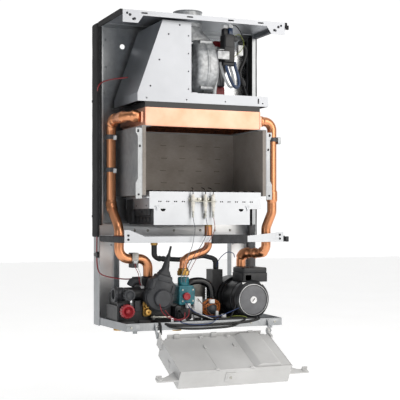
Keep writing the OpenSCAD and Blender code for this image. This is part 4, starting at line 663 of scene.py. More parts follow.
injector_metal = phosphated_casting()
injector_x, injector_low, injector_high = -122, 234, 268
injector_parts = [block((injector_x - 4, 40, injector_low), (injector_x, 192, injector_high), 1.2, 3, axis=0),
                  block((injector_x - 9, 96, injector_high - 14), (injector_x - 3, 186, injector_high + 16),
                        1.2, 4, axis=0),
                  block((injector_x - 12, 44, injector_low + 4), (injector_x - 3, 88, injector_high + 24),
                        1.5, 4, axis=0)]
injector_parts += [block((injector_x - 7, d, injector_low + 6), (injector_x - 3, d + 14, injector_low + 16),
                         0.8, 2, axis=0) for d in (98, 122, 146, 168)]
injector_parts += [set_out(screw_head(2.4), (injector_x - 9, d, z), (-1, 0, 0))
                   for d, z in ((108, 276), (174, 276), (140, 262))]
injector_plate = piece("injector_plate", injector_metal, *injector_parts)
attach(injector_plate, "boiler")


def hot_pressed_brass():
    """Hot pressed brass: dull gold with a sandblasted skin and darker hollows."""
    made, tree, shader, place = start("hot_pressed_brass", "#b98f4a", 1.0, 0.36)
    mottle(tree, shader, noise(tree, place, 12, 4.0), "#a07838", "#dcb36c")
    relief(tree, shader, noise(tree, place, 0.7), 0.05, 0.4)
    return made


brass = hot_pressed_brass()
dress(brass, "gas_manifold")


# Electrodes: three glazed ceramics on a plated plate in front of the bar, two for the spark and one
# that senses the flame. Their bare wires reach up to the blades, and plated sleeves grip the leads below.
def glazed_ceramic():
    """Alumina ceramic: off white with a thin glaze and a faint stain near the heat."""
    made, tree, shader, place = start("glazed_ceramic", "#e4e1d8", 0.0, 0.28)
    mottle(tree, shader, noise(tree, place, 8), "#cfcabd", "#eeebe3")
    return made


def heat_stained_wire():
    """Heat-proof alloy wire: dark grey with a blue brown scale."""
    made, tree, shader, place = start("heat_stained_wire", "#55504c", 1.0, 0.45)
    mottle(tree, shader, noise(tree, place, 5), "#3d3a3a", "#7a726a")
    return made


def eased(points, step=2.0):
    """Path through hand-set points: each span is a cubic whose slopes are half the chord between its
    neighbours, sampled about every step millimetres."""
    points = np.array(points, float)
    ends = np.concatenate([2 * points[:1] - points[1:2], points, 2 * points[-1:] - points[-2:-1]])
    path = []
    for k in range(1, len(ends) - 2):
        p, q = ends[k], ends[k + 1]
        slope_in, slope_out = (ends[k + 1] - ends[k - 1]) / 2, (ends[k + 2] - ends[k]) / 2
        count = max(2, int(np.linalg.norm(q - p) / step))
        t = np.linspace(0, 1, count, endpoint=False)[:, None]
        path.append((2 * t ** 3 - 3 * t ** 2 + 1) * p + (t ** 3 - 2 * t ** 2 + t) * slope_in
                    + (3 * t ** 2 - 2 * t ** 3) * q + (t ** 3 - t ** 2) * slope_out)
    return np.concatenate([*path, points[-1:]])


def swept(path, radius, sides=12, flat=1.0):
    """Rings of a round section carried along a path. Each ring is square to the path, and its start side
    is the last one's with the part along the path taken away, so that the section doesn't twist."""
    path = np.array(path, float)
    along = np.gradient(path, axis=0)
    along /= np.linalg.norm(along, axis=1, keepdims=True)
    side = np.cross(along[0], (0, 0, 1) if abs(along[0][2]) < 0.8 else (1, 0, 0))
    sides_out = []
    for direction in along:
        side = side - side.dot(direction) * direction
        side /= np.linalg.norm(side)
        sides_out.append(side)
    first = np.array(sides_out)
    second = np.cross(along, first)
    angle = np.linspace(0, 2 * pi, sides, endpoint=False)
    radius = np.broadcast_to(np.array(radius, float).reshape(-1, 1, 1), (len(path), 1, 1))
    across = np.cos(angle)[None, :, None] * first[:, None]
    across = across + flat * np.sin(angle)[None, :, None] * second[:, None]
    return path[:, None] + radius * across


def lathed(corners, soft, steps, sides):
    """Turned body of a profile of radius and height pairs whose corners are eased."""
    return turned(rounded(corners, soft, steps, closed=False), sides)


ceramic = glazed_ceramic()
rod_metal = heat_stained_wire()
electrode_xs = (-32, -2, 17)
rod_d, plate_z = 203, 285
ceramic_body = lathed([(2.0, -22), (3.1, -21.5), (3.1, -12), (4.4, -11), (4.6, -4), (5.2, -3), (5.2, 3.2),
                       (4.2, 4.4), (4.0, 13), (2.6, 16.2), (1.6, 16.6)], 0.9, 3, 28)
ceramics = piece("electrode_ceramics", ceramic,
                 *[set_out(ceramic_body, (x, rod_d, plate_z), upright)
                   for x in electrode_xs])
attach(ceramics, "boiler")
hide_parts("electrodes")
rod_paths = [[(x, rod_d, 300), (x, rod_d, 309), (x + lean, 198, 314), (x + 2 * lean, 188, 316.5)]
             for x, lean in zip(electrode_xs, (1.5, -1.5, -3.0))]
rods = piece("electrode_rods", rod_metal, *[swept(eased(path, 1.2), 1.1, 10) for path in rod_paths])
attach(rods, "boiler")
plate_shapes = [block((-40, 195.2, plate_z - 0.7), (25, 210, plate_z + 0.7), 0.6, 4),
                block((-40, 195.1, plate_z), (25, 196.5, plate_z + 9), 0.6, 3, axis=1)]
plate_shapes += [set_out(screw_head(3.2, 2.0), (x, 196.5, 290.5)) for x in (-17, 8)]
electrode_plate = piece("electrode_plate", bolt_steel, *plate_shapes)
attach(electrode_plate, "boiler")
sleeve_body = lathed([(1.4, 0), (2.5, 0.4), (2.5, 7), (2.1, 7.6), (2.1, 10), (2.6, 10.6), (2.6, 15),
                      (1.5, 16)], 0.6, 2, 16)
lead_sleeves = piece("lead_sleeves", bolt_steel, *[
    set_out(sleeve_body, (x, rod_d, 249), upright) for x in electrode_xs])
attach(lead_sleeves, "boiler")


def silicone_lead(name, colour, dark):
    """Silicone-sheathed lead: satin, evenly coloured with slight handling marks."""
    made, tree, shader, place = start(name, colour, 0.0, 0.45)
    mottle(tree, shader, noise(tree, place, 6), dark, colour)
    return made


lead_finishes = [silicone_lead("grey_lead", "#8c8e92", "#6d6f74"),
                 silicone_lead("smoke_lead", "#5d5f66", "#44464c"),
                 silicone_lead("pink_lead", "#a06b66", "#7e4f4c")]
lead_routes = [[(-32, 203, 261), (-32, 204, 248), (-31, 212, 225), (-34, 213, 205), (-38, 212, 185),
                (-44, 205, 165), (-48, 195, 140)],
               [(-2, 203, 261), (-1, 204, 248), (-1, 212, 225), (-7, 213, 205), (-18, 212, 185),
                (-30, 205, 165), (-42, 195, 140)],
               [(17, 203, 261), (18, 204, 248), (17, 212, 225), (8, 213, 205), (-6, 212, 185),
                (-20, 205, 165), (-36, 195, 140)]]
for number, (finish, path) in enumerate(zip(lead_finishes, lead_routes)):
    lower = path[:-1] + [(path[-1][0] - 1, 178, 122 - 3 * number), (-46 + 5 * number, 168, 104)]
    lead = piece("electrode_lead_%d" % (number + 1), finish, swept(eased(lower, 3.0), 0.75, 8))
    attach(lead, "boiler")
    if number == 0:
        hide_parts("electrode_leads")


# Heat exchanger: rolled copper shell dipped in the furnace and so a little clouded, a pack of thin
# copper fins pressed on the water tubes, and a soldered header at each end.
def sheet_copper():
    """Rolled copper: salmon with pinkish and brown heat clouds and a satin shine."""
    made, tree, shader, place = start("sheet_copper", "#e8a77c", 1.0, 0.34)
    mottle(tree, shader, noise(tree, place, 45, 4.0), "#c9937a", "#deb09a", 0.3, 0.7)
    polish(tree, shader, noise(tree, place, 45), 0.3, 0.46)
    relief(tree, shader, noise(tree, place, 1.0, 2.0, (0.05, 1, 1)), 0.02, 0.3)
    return made


def oxidised_copper():
    """Furnace-scaled copper of the fins: deep brown with orange and black patches."""
    made, tree, shader, place = start("oxidised_copper", "#8a4a25", 0.9, 0.45)
    mottle(tree, shader, noise(tree, place, 6, 5.0), "#4a2511", "#b5683a", 0.35, 0.68)
    return made


copper_sheet = sheet_copper()
fin_copper = oxidised_copper()
dress(copper_sheet, "exchanger_shell")
shell_low, shell_high = cad_box("exchanger_fins")
fin_back, fin_front = shell_low[1] + 0.4, shell_high[1] - 0.4
fin_low, fin_high = shell_low[2], shell_high[2]
fin_pitch, fin_thick = 3.1, 0.55
fin_teeth = [(d, fin_low + (3.5 if n % 2 else 0.2))
             for n, d in enumerate(np.linspace(fin_front - 4, fin_back + 4, 13))]
fin_outline = rounded([(fin_back, fin_high), (fin_front, fin_high), (fin_front, fin_low + 1), *fin_teeth,
                       (fin_back, fin_low + 1)], 2.0, 2)
fin_rings = pressed(fin_outline, [(0, 0), (0, fin_thick)])
fin_skins = []
for x in np.arange(shell_low[0] + 2, shell_high[0] - 2, fin_pitch):
    fin_skins.append(np.stack([fin_rings[..., 2] + x, fin_rings[..., 0], fin_rings[..., 1]], axis=-1))
rightward = (1, 0, 0)
tube_z = (fin_low + fin_high) / 2
tube_skins = [set_out(turned([(7, 0), (7, shell_high[0] - shell_low[0])], 24), (shell_low[0], d, tube_z),
                      rightward) for d in np.linspace(fin_back + 12.6, fin_front - 12.6, 5)]
fin_pack = piece("fin_pack", fin_copper, *fin_skins, *tube_skins)
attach(fin_pack, "boiler")
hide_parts("exchanger_fins")
seam_skins = [block((x - 1.2, 26, 452.5), (x + 1.2, 185.6, 492.5), 0.5, 0.6) for x in (-137.4, 142.4)]
seam_skins.append(block((-138, 184.6, 451.6), (143, 186.2, 453.6), 0.5, 0.6, axis=0))
shell_seams = piece("shell_seams", copper_sheet, *seam_skins)
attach(shell_seams, "boiler")


# Flue hood: folded from the top panel's bright sheet, on a black band over the exchanger that is painted
# shade for the gap there.
# Its front is one flat sheet held by small screws; the leaning side turns the gases to the fan. Behind
# the fan a pale shining plate on the back is painted light: it stands in for the brightly lit back plate
# there.
def polished_zinc_painted_light():
    """Pale smooth zinc sheet with a mill shine that mirrors the room softly, clouded by faint crystals; its
    pale tone is painted light for the back plate behind the fan.
    """
    made, tree, shader, place = start("polished_zinc_painted_light", "#d3d6d8", 0.95, 0.24)
    crystal = add(tree, "ShaderNodeTexVoronoi", {"Scale": 1000 / spangle_mm}, {"Vector": place}, feature="F1")
    both = blend_of(tree, noise(tree, place, 35, 4.0), crystal.outputs["Color"], 0.35)
    mottle(tree, shader, both, "#aeb1b4", "#dfe1e3", 0.25, 0.75)
    return made


def black_band_painted_shade():
    """Black satin sheet with a faint orange peel: painted shade for the shadowed gap between hood and
    exchanger.
    """
    made, tree, shader, place = start("black_band_painted_shade", "#141416", 0.0, 0.35)
    mottle(tree, shader, noise(tree, place, 50), "#0f0f11", "#1d1d20")
    relief(tree, shader, noise(tree, place, 3.0, 2.0), 0.03, 0.3)
    return made


shade_band = black_band_painted_shade()
# Painted shade: the hood skirt is dressed black to stand for the shadowed gap between hood and exchanger.
dress(shade_band, "hood_skirt")
dress(hood_sheet, "flue_hood")
hood_face = 185
hood_screw_places = [(-56.5, 679), (-83, 657), (-105, 599), (-126, 540)]
hood_screws = piece("hood_screws", black_bolt,
                    *[set_out(screw_head(1.9, 1.2), (x, hood_face, z)) for x, z in hood_screw_places])
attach(hood_screws, "boiler")
latch = piece("hood_latch", black_bolt,
              block((137, hood_face - 0.4, 512), (140.5, hood_face + 0.5, 524), 0.4, 1.2, axis=1))
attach(latch, "boiler")
hood_fold = piece("hood_fold", hood_sheet, block((-29.2, 22, 529.2), (-25.5, 184.5, 530.4), 0.4, 0.5, axis=1),
                  block((-29.3, 21, 530), (-28.1, 30, 687), 0.4, 0.5))
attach(hood_fold, "boiler")
painted_light_zinc = polished_zinc_painted_light()
# A pale shiny plate behind the fan: painted light standing for the bright back plate there.
light_plate = piece("rear_painted_light_plate", painted_light_zinc, block((96, 0.6, 545), (196, 2.6, 691), 0.5, 3, axis=1))
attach(light_plate, "boiler")


# Fan: two die-cast scroll halves bolted at a seam round the wheel, an inlet neck in the hood's side and
# a throat up to the flue. Its shaded-pole motor has a laminated stack with two red lacquered coils.
fan_place = fan_x, fan_d, fan_z = -10.0, 112.0, 597.0
scroll_r, scroll_w = 66.0, 58.0
scroll_outline = [(28, 0.0), (48, 0.5), (60, 2.5), (scroll_r - 1.5, 7), (scroll_r, 12), (scroll_r, 26),
                  (scroll_r + 2, 26.6), (scroll_r + 2, 31), (scroll_r, 31.6), (scroll_r, 47),
                  (scroll_r - 1.5, 51), (60, 55.5), (48, 57.5), (8, scroll_w)]
scroll_body = lathed(scroll_outline, 3.0, 4, 72)
scroll_skin = set_out(scroll_body, fan_place, rightward)
neck_body = lathed([(30.5, -18.4), (36, -18.4), (36, -14), (34, -12), (34, 2), (30.5, 2)], 1.0, 3, 48)
neck_skin = set_out(neck_body, fan_place, rightward)


def superellipse(wide, deep, power, count):
    """Ring between an oval and a rectangle: cosine and sine raised to 2 / power, with their signs kept."""
    angle = np.linspace(0, 2 * pi, count, endpoint=False)
    across, forward = np.cos(angle), np.sin(angle)
    return (wide * np.sign(across) * np.abs(across) ** (2 / power),
            deep * np.sign(forward) * np.abs(forward) ** (2 / power))


throat_rows, throat_foot, throat_h, hood_side = [], 649, 39.5, -28.2
for share in np.linspace(0, 1, 14):
    ease = share * share * (3 - 2 * share)
    wide, deep = 29 * (1 - ease) + 33 * ease, 25 * (1 - ease) + 33 * ease
    x, d = superellipse(wide, deep, 5 * (1 - ease) + 2 * ease, 48)
    centre_x, centre_d = 19 * (1 - ease) - 3 * ease, 112 * (1 - ease) + 100 * ease
    x = np.maximum(x + centre_x, hood_side)
    throat_rows.append(np.stack([x, d + centre_d, np.full(48, throat_foot + share * throat_h)], axis=-1))
throat_skin = np.stack(throat_rows)
rib_skins = [set_out(block((scroll_r - 3, -1.1, 4), (scroll_r + 1.4, 1.1, 54), 0.7), fan_place, rightward,
                     turn) for turn in (-62, -38, -14, 10, 34)]
lug_body = lathed([(4.6, 14), (5.0, 15), (5.0, 43), (4.6, 44)], 0.6, 2, 20)
lug_out, lug_end = scroll_r + 3, 44
lug_spots = [(fan_d + lug_out * np.cos(radians(turn)), fan_z + lug_out * np.sin(radians(turn)))
             for turn in (-48, 52, 128, 178, 232)]
lug_skins = [set_out(lug_body, (fan_x, d, z), rightward) for d, z in lug_spots]
scroll = piece("fan_casting", casting, scroll_skin, neck_skin, throat_skin, *rib_skins, *lug_skins)
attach(scroll, "boiler")
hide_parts("fan_scroll")
fan_bolts = piece("fan_bolts", bolt_steel, *[
    set_out(screw_head(3.0, 2.0), (fan_x + lug_end, d, z), rightward) for d, z in lug_spots])
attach(fan_bolts, "boiler")
foot_bracket = piece("fan_foot_bracket", bright_sheet, block((-28, 128, 531), (-6, 131, 562), 0.8, 3, axis=1),
                     block((-28, 128, 530), (-6, 172, 532.4), 0.8, 3),
                     block((-28, 96, 646), (-10, 152, 649), 0.8, 2),
                     set_out(screw_head(3.0, 1.8), (-18, 131, 552)),
                     set_out(screw_head(3.0, 1.8), (-18, 150, 532.4), upright))
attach(foot_bracket, "boiler")


def stainless_pressing():
    """Stainless steel pressing: mid grey with a satin grain and straw heat tints."""
    made, tree, shader, place = start("stainless_pressing", "#a5a6a6", 1.0, 0.35)
    mottle(tree, shader, noise(tree, place, 30), "#7f7e7c", "#b9b6b0")
    relief(tree, shader, noise(tree, place, 0.8, 2.0, (1, 0.05, 1)), 0.02, 0.3)
    return made


def lacquered_coil():
    """Enamelled winding under red tape: dark red with fine turns across."""
    made, tree, shader, place = start("lacquered_coil", "#8c1d24", 0.0, 0.38)
    mottle(tree, shader, noise(tree, place, 1.4, 2.0, (0.1, 1, 1)), "#5f1217", "#a7262f")
    return made


def laminated_iron():
    """Stack of punched iron sheets: dark grey with fine lines along the stack."""
    made, tree, shader, place = start("laminated_iron", "#4c4d50", 0.9, 0.42)
    mottle(tree, shader, noise(tree, place, 1.1, 1.0, (1, 0.03, 0.03)), "#2e2f31", "#6c6d70")
    return made


def glass_filled_nylon(name, dark, light, rough):
    """Glass-filled nylon: fine spark grain, slightly streaked along the flow, satin."""
    made, tree, shader, place = start(name, dark, 0.0, rough)
    mottle(tree, shader, noise(tree, place, 20, 4.0), dark, light)
    polish(tree, shader, noise(tree, place, 14, 3.0), rough - 0.06, rough + 0.08)
    relief(tree, shader, noise(tree, place, 0.6, 2.0), 0.04, 0.5)
    return made


stainless = stainless_pressing()
dress(stainless, "fan_impeller")
coil_red = lacquered_coil()
iron = laminated_iron()
black_nylon = glass_filled_nylon("black_nylon", "#151618", "#222326", 0.4)
motor_x = fan_x + scroll_w
motor_body = lathed([(5, 0), (29, 0), (31, 2), (31, 6), (27, 8), (27, 27), (22, 30), (12, 31), (12, 38),
                     (5, 38)], 1.6, 3, 48)
fan_motor = piece("fan_motor_can", black_nylon,
                  set_out(motor_body, (motor_x, fan_d, fan_z), rightward))
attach(fan_motor, "boiler")
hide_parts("fan_motor")
stack_low, stack_high = (motor_x + 8, fan_d - 26, fan_z - 43), (motor_x + 27, fan_d + 26, fan_z + 43)
stack = piece("motor_laminations", iron, block(stack_low, stack_high, 1.0, 5, axis=0))
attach(stack, "boiler")
coils = piece("motor_coils", coil_red, *[
    block((motor_x + 5, fan_d - 14, z - 12), (motor_x + 33, fan_d + 14, z + 12), 3.5, 5, axis=1)
    for z in (fan_z - 53, fan_z + 53)])
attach(coils, "boiler")


# Air pressure switch: black moulded box with a round bar below, held by a cast tab from the fan. A blue
# and a white silicone tube loop down from it and a third tube joins the hood. Plugs, the fan's sheathed
# cable and its earth lead are pushed on by hand.
switch_bar = lathed([(1, 0), (5.4, 0), (5.4, 28), (1, 28)], 1.2, 3, 28)
switch = piece("air_switch", black_nylon, block((58, 148, 606), (84, 174, 670), 1.6, 4, axis=1),
               block((60, 172, 640), (82, 175.4, 666), 1.0, 2, axis=1),
               set_out(switch_bar, (56, 167, 602.5), rightward),
               block((84, 148, 655), (93, 170, 668), 1.2, 2.5, axis=0),
               block((60, 150, 669), (71, 165, 684), 1.2, 2))
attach(switch, "boiler")
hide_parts("pressure_switch")
dress(zinc, "fan_bracket")
switch_tab = piece("switch_tab", casting, block((40, 174.8, 611), (69, 177.2, 630), 0.8, 1.5, axis=1),
                   block((40, 150, 613), (43, 176, 628), 0.8, 1.5, axis=0),
                   block((44, 152, 632), (58, 174, 634.5), 0.8, 1.5))
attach(switch_tab, "boiler")


def silicone_tube(name, colour, shade):
    """Extruded silicone tube: evenly coloured, satin, slightly cloudy."""
    made, tree, shader, place = start(name, colour, 0.0, 0.32, **{"Coat Weight": 0.25, "Coat Roughness": 0.2})
    mottle(tree, shader, noise(tree, place, 12), shade, colour)
    return made


blue_tube = silicone_tube("blue_tube", "#17375f", "#0f2543")
white_tube = silicone_tube("white_tube", "#dfe1e2", "#c6c9cc")
tube_places = [(64, 606), (66, 595), (73, 575), (82, 557), (90, 549.5), (97, 556), (95.5, 575), (89, 595),
               (86, 608)]
blue_loop = piece("blue_tube", blue_tube, swept(eased([(x, 167, z) for x, z in tube_places]), 3.7, 16))
white_loop = piece("white_tube", white_tube,
                   swept(eased([(x - 7, 153, z + 2) for x, z in tube_places]), 3.2, 16))
for loop in (blue_loop, white_loop):
    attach(loop, "boiler")
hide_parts("pressure_tubes")
vent_route = [(50, 132, 640), (56, 134, 618), (56, 138, 590), (50, 140, 560), (46, 142, 531)]
vent_tube = piece("hood_vent_tube", white_tube, swept(eased(vent_route), 4.6, 18))
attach(vent_tube, "boiler")

white_nylon = glass_filled_nylon("white_nylon", "#d5d6d6", "#e6e7e7", 0.4)
plugs = piece("fan_plugs", white_nylon, block((60, 150, 685), (71, 164, 692.5), 1.0, 1.5),
              block((73.5, 150, 687), (84, 164, 694), 1.0, 1.5),
              block((101, 146, 626), (114, 156, 650), 1.4, 2))
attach(plugs, "boiler")
sheath = glass_filled_nylon("black_sheath", "#0a0b0c", "#131416", 0.5)
yellow_lead = silicone_lead("yellow_green_lead", "#8f9440", "#66752c")
cord_end = set_out(lathed([(2, 0), (6.5, 1), (7.5, 6), (7.5, 13), (5, 18), (2.6, 24)], 1.6, 3, 24),
                   (121, 140, 556), (-0.25, 0, 1))
cable_runs = [([(104, 152, 656), (117, 151, 650), (124, 150, 636), (118, 148, 612), (110, 145, 592),
                (114, 141, 574)], 3.3, 12),
              ([(122, 140, 558), (128, 132, 550), (136, 124, 540), (143, 118, 530.5)], 3.0, 12),
              ([(80, 158, 693), (92, 160, 693), (106, 158, 680), (113, 154, 664), (110, 150, 650)], 1.1, 8)]
fan_cable = piece("fan_cable", sheath, cord_end,
                  *[swept(eased(path), radius, sides) for path, radius, sides in cable_runs])
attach(fan_cable, "boiler")
earth_route = [(88, 160, 668), (100, 164, 672), (112, 162, 656), (109, 160, 640), (96, 156, 626),
               (88, 152, 616)]
earth_lead = piece("fan_earth_lead", yellow_lead, swept(eased(earth_route), 0.7, 8))
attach(earth_lead, "boiler")
blue_plug = piece("switch_plug_blue", blue_tube, block((73, 150, 669.5), (83.5, 165, 686), 1.2, 2))
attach(blue_plug, "boiler")


# Copper pipes: half-hard tube bent on a mandrel and brazed into its fittings, bright on the runs, with
# straw and brown heat marks and flux stains near the brazed ends.
def drawn_copper():
    """Drawn copper: orange, long soft highlights, with brown heat marks where the heat value is high."""
    made, tree, shader, place = start("drawn_copper", "#e08a55", 1.0, 0.26)
    heat = add(tree, "ShaderNodeAttribute", attribute_name="heat").outputs["Fac"]
    cloud = noise(tree, place, 22, 4.0)
    stain = add(tree, "ShaderNodeMath", {1: 0.45}, {0: cloud}, operation="SUBTRACT").outputs["Value"]
    mark = add(tree, "ShaderNodeMath", {1: 1.6, 2: 0.0}, {0: stain}, operation="MULTIPLY_ADD")
    tree.links.new(heat, mark.inputs[2])
    mottle(tree, shader, mark.outputs["Value"], "#dd9a70", "#8f5632", 0.2, 1.3)
    polish(tree, shader, mark.outputs["Value"], 0.32, 0.5)
    return made


def bent_route(points, bends, step=2.0):
    """Pipe path: straight runs joined by true arcs. An arc starts its radius times the tangent of half
    the turn before the corner; its points go round the arc's centre."""
    points = np.array(points, float)
    path = [points[:1]]
    for k, bend in enumerate(bends, 1):
        into = points[k] - points[k - 1]
        out = points[k + 1] - points[k]
        into, out = into / np.linalg.norm(into), out / np.linalg.norm(out)
        whole = np.arccos(np.clip(into @ out, -1, 1))
        inward = out - (into @ out) * into
        inward /= np.linalg.norm(inward)
        begin = points[k] - into * bend * np.tan(whole / 2)
        t = np.linspace(0, whole, max(4, int(bend * whole / step)))[:, None]
        path.append(begin + bend * np.sin(t) * into + bend * (1 - np.cos(t)) * inward)
    path.append(points[-1:])
    path = np.concatenate(path)
    length = np.concatenate([[0], np.cumsum(np.linalg.norm(np.diff(path, axis=0), axis=1))])
    even = np.linspace(0, length[-1], int(length[-1] / step) + 1)
    return np.stack([np.interp(even, length, path[:, n]) for n in range(3)], axis=1), even


def swollen(lengths, radius, fittings):
    """Radius along a pipe: each fitting (from, to, extra) swells it by a smooth step at both ends."""
    swell = np.zeros_like(lengths)
    for begin, end, extra in fittings:
        swell = swell + extra * (np.clip((lengths - begin) / 3, 0, 1) - np.clip((lengths - end) / 3, 0, 1))
    return radius + swell


def pipe(name, material, points, bends, radius, fittings, sides=32):
    """Swept pipe whose vertices carry the heat value: high within a few centimetres of its fittings."""
    path, lengths = bent_route(points, bends)
    made = piece(name, material, swept(path, swollen(lengths, radius, fittings), sides))
    heat = np.zeros_like(lengths)
    for begin, end, extra in fittings:
        away = np.maximum(0, np.maximum(begin - lengths, lengths - end))
        heat = np.maximum(heat, np.exp(-away / 14.0))
    layer = made.data.attributes.new("heat", "FLOAT", "POINT")
    layer.data.foreach_set("value", np.repeat(heat, sides).astype(np.float32))
    return made


tube_copper = drawn_copper()
header_d, header_z, flow_back, return_right = 160, 474, 52, 186
flow_points = [(-145, header_d, header_z), (flow_x + 2, header_d, header_z), (flow_x, flow_back, header_z),
               (flow_x, flow_back, 275), (flow_x, flow_d, 226), (flow_x, flow_d, 156), (-105, flow_d, 156),
               (-105, flow_d, 116)]
flow_tube = pipe("flow_tube", tube_copper, flow_points, (22, 26, 26, 26, 24, 22), water_r,
                 [(0, 14, 2.6), (34, 62, 2.2), (92, 122, 2.4), (300, 324, 1.8)])
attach(flow_tube, "boiler")
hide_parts("flow_pipe")
return_points = [(152, header_d, header_z), (return_right, header_d, header_z), (return_right, header_d, 262),
                 (return_x, return_d, 226), (return_x, return_d, 166), (136, 96, 166), (136, 96, 134)]
return_tube = pipe("return_tube", tube_copper, return_points, (20, 22, 26, 20, 18), water_r,
                   [(0, 8, 1.5), (186, 210, 2.0), (330, 338, 1.6), (352, 360, 1.6), (372, 400, 2.0)])
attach(return_tube, "boiler")
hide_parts("return_pipe")
valve_x = -34
gas_points = [(gas_x, gas_d, 229), (gas_x, gas_d, 176), (valve_x, gas_d, 156), (valve_x, gas_d, 121)]
gas_tube = pipe("gas_tube", tube_copper, gas_points, (22, 22), gas_r, [(108, 116, 1.6)])
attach(gas_tube, "boiler")
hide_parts("gas_pipe")


def hexagon_nut(across, height, sides=6):
    """Rings of a nut: a hexagon eased at its corners, with both rims turned down to a circle."""
    angle = np.arange(sides) * 2 * pi / sides
    outline = rounded(np.stack([np.cos(angle), np.sin(angle)], 1) * across / np.sqrt(3), 0.9, 3)
    rim = outline / np.linalg.norm(outline, axis=1, keepdims=True) * across / 2 * 0.97
    layers = [(rim, 0), (outline, height * 0.14), (outline, height * 0.86), (rim, height)]
    return np.stack([np.concatenate([ring, np.full((len(ring), 1), z)], axis=1) for ring, z in layers])


gas_nut = piece("gas_nut", brass, set_out(hexagon_nut(26, 12), (valve_x, gas_d, 118), upright),
                set_out(lathed([(9, 0), (12, 0), (12, 4), (10.5, 6), (9, 6)], 0.8, 3, 32),
                        (valve_x, gas_d, 129), upright))
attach(gas_nut, "boiler")


# Flexible hose: extruded rubber hose with crimped ends, which leads to the expansion vessel. It hangs
# between the brass nut under the shelf and the pump.
hose_rubber = glass_filled_nylon("hose_rubber", "#202224", "#303236", 0.5)
hose_path, hose_lengths = bent_route([(-86, 100, 196), (-86, 100, 156), (-22, 96, 152), (41, 90, 160),
                                      (74, 88, 152), (74, 88, 128)], (12, 40, 40, 14))
hose_end = hose_lengths[-1]
hose_crimps = [(0, 34, 0.9), (44, 50, 1.2), (54, 60, 1.2), (hose_end - 26, hose_end - 2, 1.2)]
hose = piece("vessel_hose_tube", hose_rubber, swept(hose_path, swollen(hose_lengths, 5.5, hose_crimps), 20))
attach(hose, "boiler")
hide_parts("vessel_hose")
hose_nut = piece("hose_nut", brass, set_out(hexagon_nut(19, 10), (-86, 100, 194.5), upright),
                 set_out(lathed([(4, 0), (7.6, 0), (8.2, 2), (8.2, 6), (6, 7.5), (4, 7.5)], 0.8, 3, 24),
                         (-86, 100, 186), upright))
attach(hose_nut, "boiler")


# Clips: nylon straps hold the pipes, with small zinc tags, a pale clip sits on the return pipe, and a
# clamp bent from stainless strip holds the temperature sensor on the flow pipe.
dress(glass_filled_nylon("clip_nylon", "#3a3b3d", "#4c4d50", 0.4), "pipe_clips")
tag = piece("clip_tags", zinc, block((197.5, 158, 422), (205, 169, 438), 0.6, 1.5, axis=0),
            *[block((-199, 36, z), (-186, 40, z + 12), 0.6, 1.5, axis=1) for z in (424, 350)],
            *[block((-192, 122.5, z), (-184, 125, z + 10), 0.6, 1.5, axis=1) for z in (423, 349)])
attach(tag, "boiler")
return_clip = piece("return_clip", glass_filled_nylon("pale_nylon", "#dcdcda", "#ececea", 0.45),
                    block((182, 150, 321), (193, 163, 336), 1.0, 2),
                    block((164, 163, 323), (188, 167.6, 334), 1.0, 2))
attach(return_clip, "boiler")
sensor_clip = piece("sensor_clip", stainless, block((-147, 121, 150), (-132, 124.6, 170), 0.6, 1.5, axis=1),
                    block((-147, 98, 167.4), (-132, 124, 170), 0.6, 1.5))
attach(sensor_clip, "boiler")


# Capillary: thin tube in a red sheath, led by hand from the hood round the frame's edge, pressed into
# the side foam, clipped to the leg and brought forward to the flow block.
red_sheath = silicone_tube("red_sheath", "#93262c", "#6f191e")
sense_points = [(-150, 100, 568), (-176, 64, 567), (-195, 51, 561), (-203, 47.5, 552), (-203.6, 42, 542),
                (-203.1, 37, 524), (-203.1, 37, 420), (-203.1, 37, 320), (-203.1, 37, 225), (-203.6, 37, 190),
                (-204, 38, 162), (-204, 42, 138), (-201, 52, 122), (-186, 68, 114), (-160, 96, 110),
                (-146, 108, 110.5), (-140, 110, 111), (-128, 110, 111)]
capillary = piece("red_capillary", red_sheath, swept(eased(sense_points, 4.0), 1.5, 10))
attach(capillary, "boiler")
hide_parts("sense_wire")
capillary_clips = piece("capillary_clips", black_nylon,
                        block((-206.2, 33, 157), (-199.8, 43, 171), 1.2, 2, axis=0),
                        block((-206.6, 20, 160), (-200, 47, 168), 1.2, 2, axis=0),
                        *[block((-207, 6, z), (-204, 12, z + 6), 0.8, 1.2) for z in (518, 250)])
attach(capillary_clips, "boiler")


# Bottom frame: galvanised rails and a folded front beam that carry the hydraulic group, with screwed
# end plates, studs that hold the casing, and brass unions passing down through the tray.
dress(zinc, "bottom_frame")
dress(brass, "connection_unions")
beam_face, plate_t = 205, 1.3
end_plates = piece("beam_end_plates", zinc, *[
    block((x0, beam_face - 0.2, z0), (x1, beam_face + plate_t, z1), 0.5, 2, axis=1)
    for x0, x1, z0, z1 in ((-189, -158, 3.2, 15.8), (154, 180, 4.6, 16.8))])
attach(end_plates, "boiler")
beam_screws = piece("beam_screws", bolt_steel, *[
    set_out(screw_head(2.6, 1.6), (x, beam_face + out, z))
    for x, out, z in ((-178, plate_t, 9.5), (170, plate_t, 10.5), (-120, 0, 9.6), (110, 0, 9.6))])
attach(beam_screws, "boiler")


# Flow block: moulded black nylon valve body on the left with an inlet barrel and ribs, the red relief
# knob and the black filling knob, and the grey diverter motor, whose back leaves room for the spool,
# under its stepped rubber boot.
def softened(name, node, width, material, sharp=34):
    """Merged copy of a CAD node's mesh whose sharp edges are rounded by a bevel of the given width."""
    mesh = nodes[node].data.copy()
    mesh.name = name
    work = bmesh.new()
    work.from_mesh(mesh)
    bmesh.ops.remove_doubles(work, verts=work.verts, dist=1e-6)
    bmesh.ops.dissolve_limit(work, angle_limit=radians(1.0), verts=work.verts, edges=work.edges)
    work.to_mesh(mesh)
    work.free()
    made = stand(name, mesh, material, sharp)
    bevel = made.modifiers.new("softened", "BEVEL")
    bevel.width = width / 1000
    bevel.segments = 2
    bevel.limit_method = "ANGLE"
    bevel.angle_limit = radians(sharp)
    bevel.harden_normals = True
    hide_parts(node)
    return made


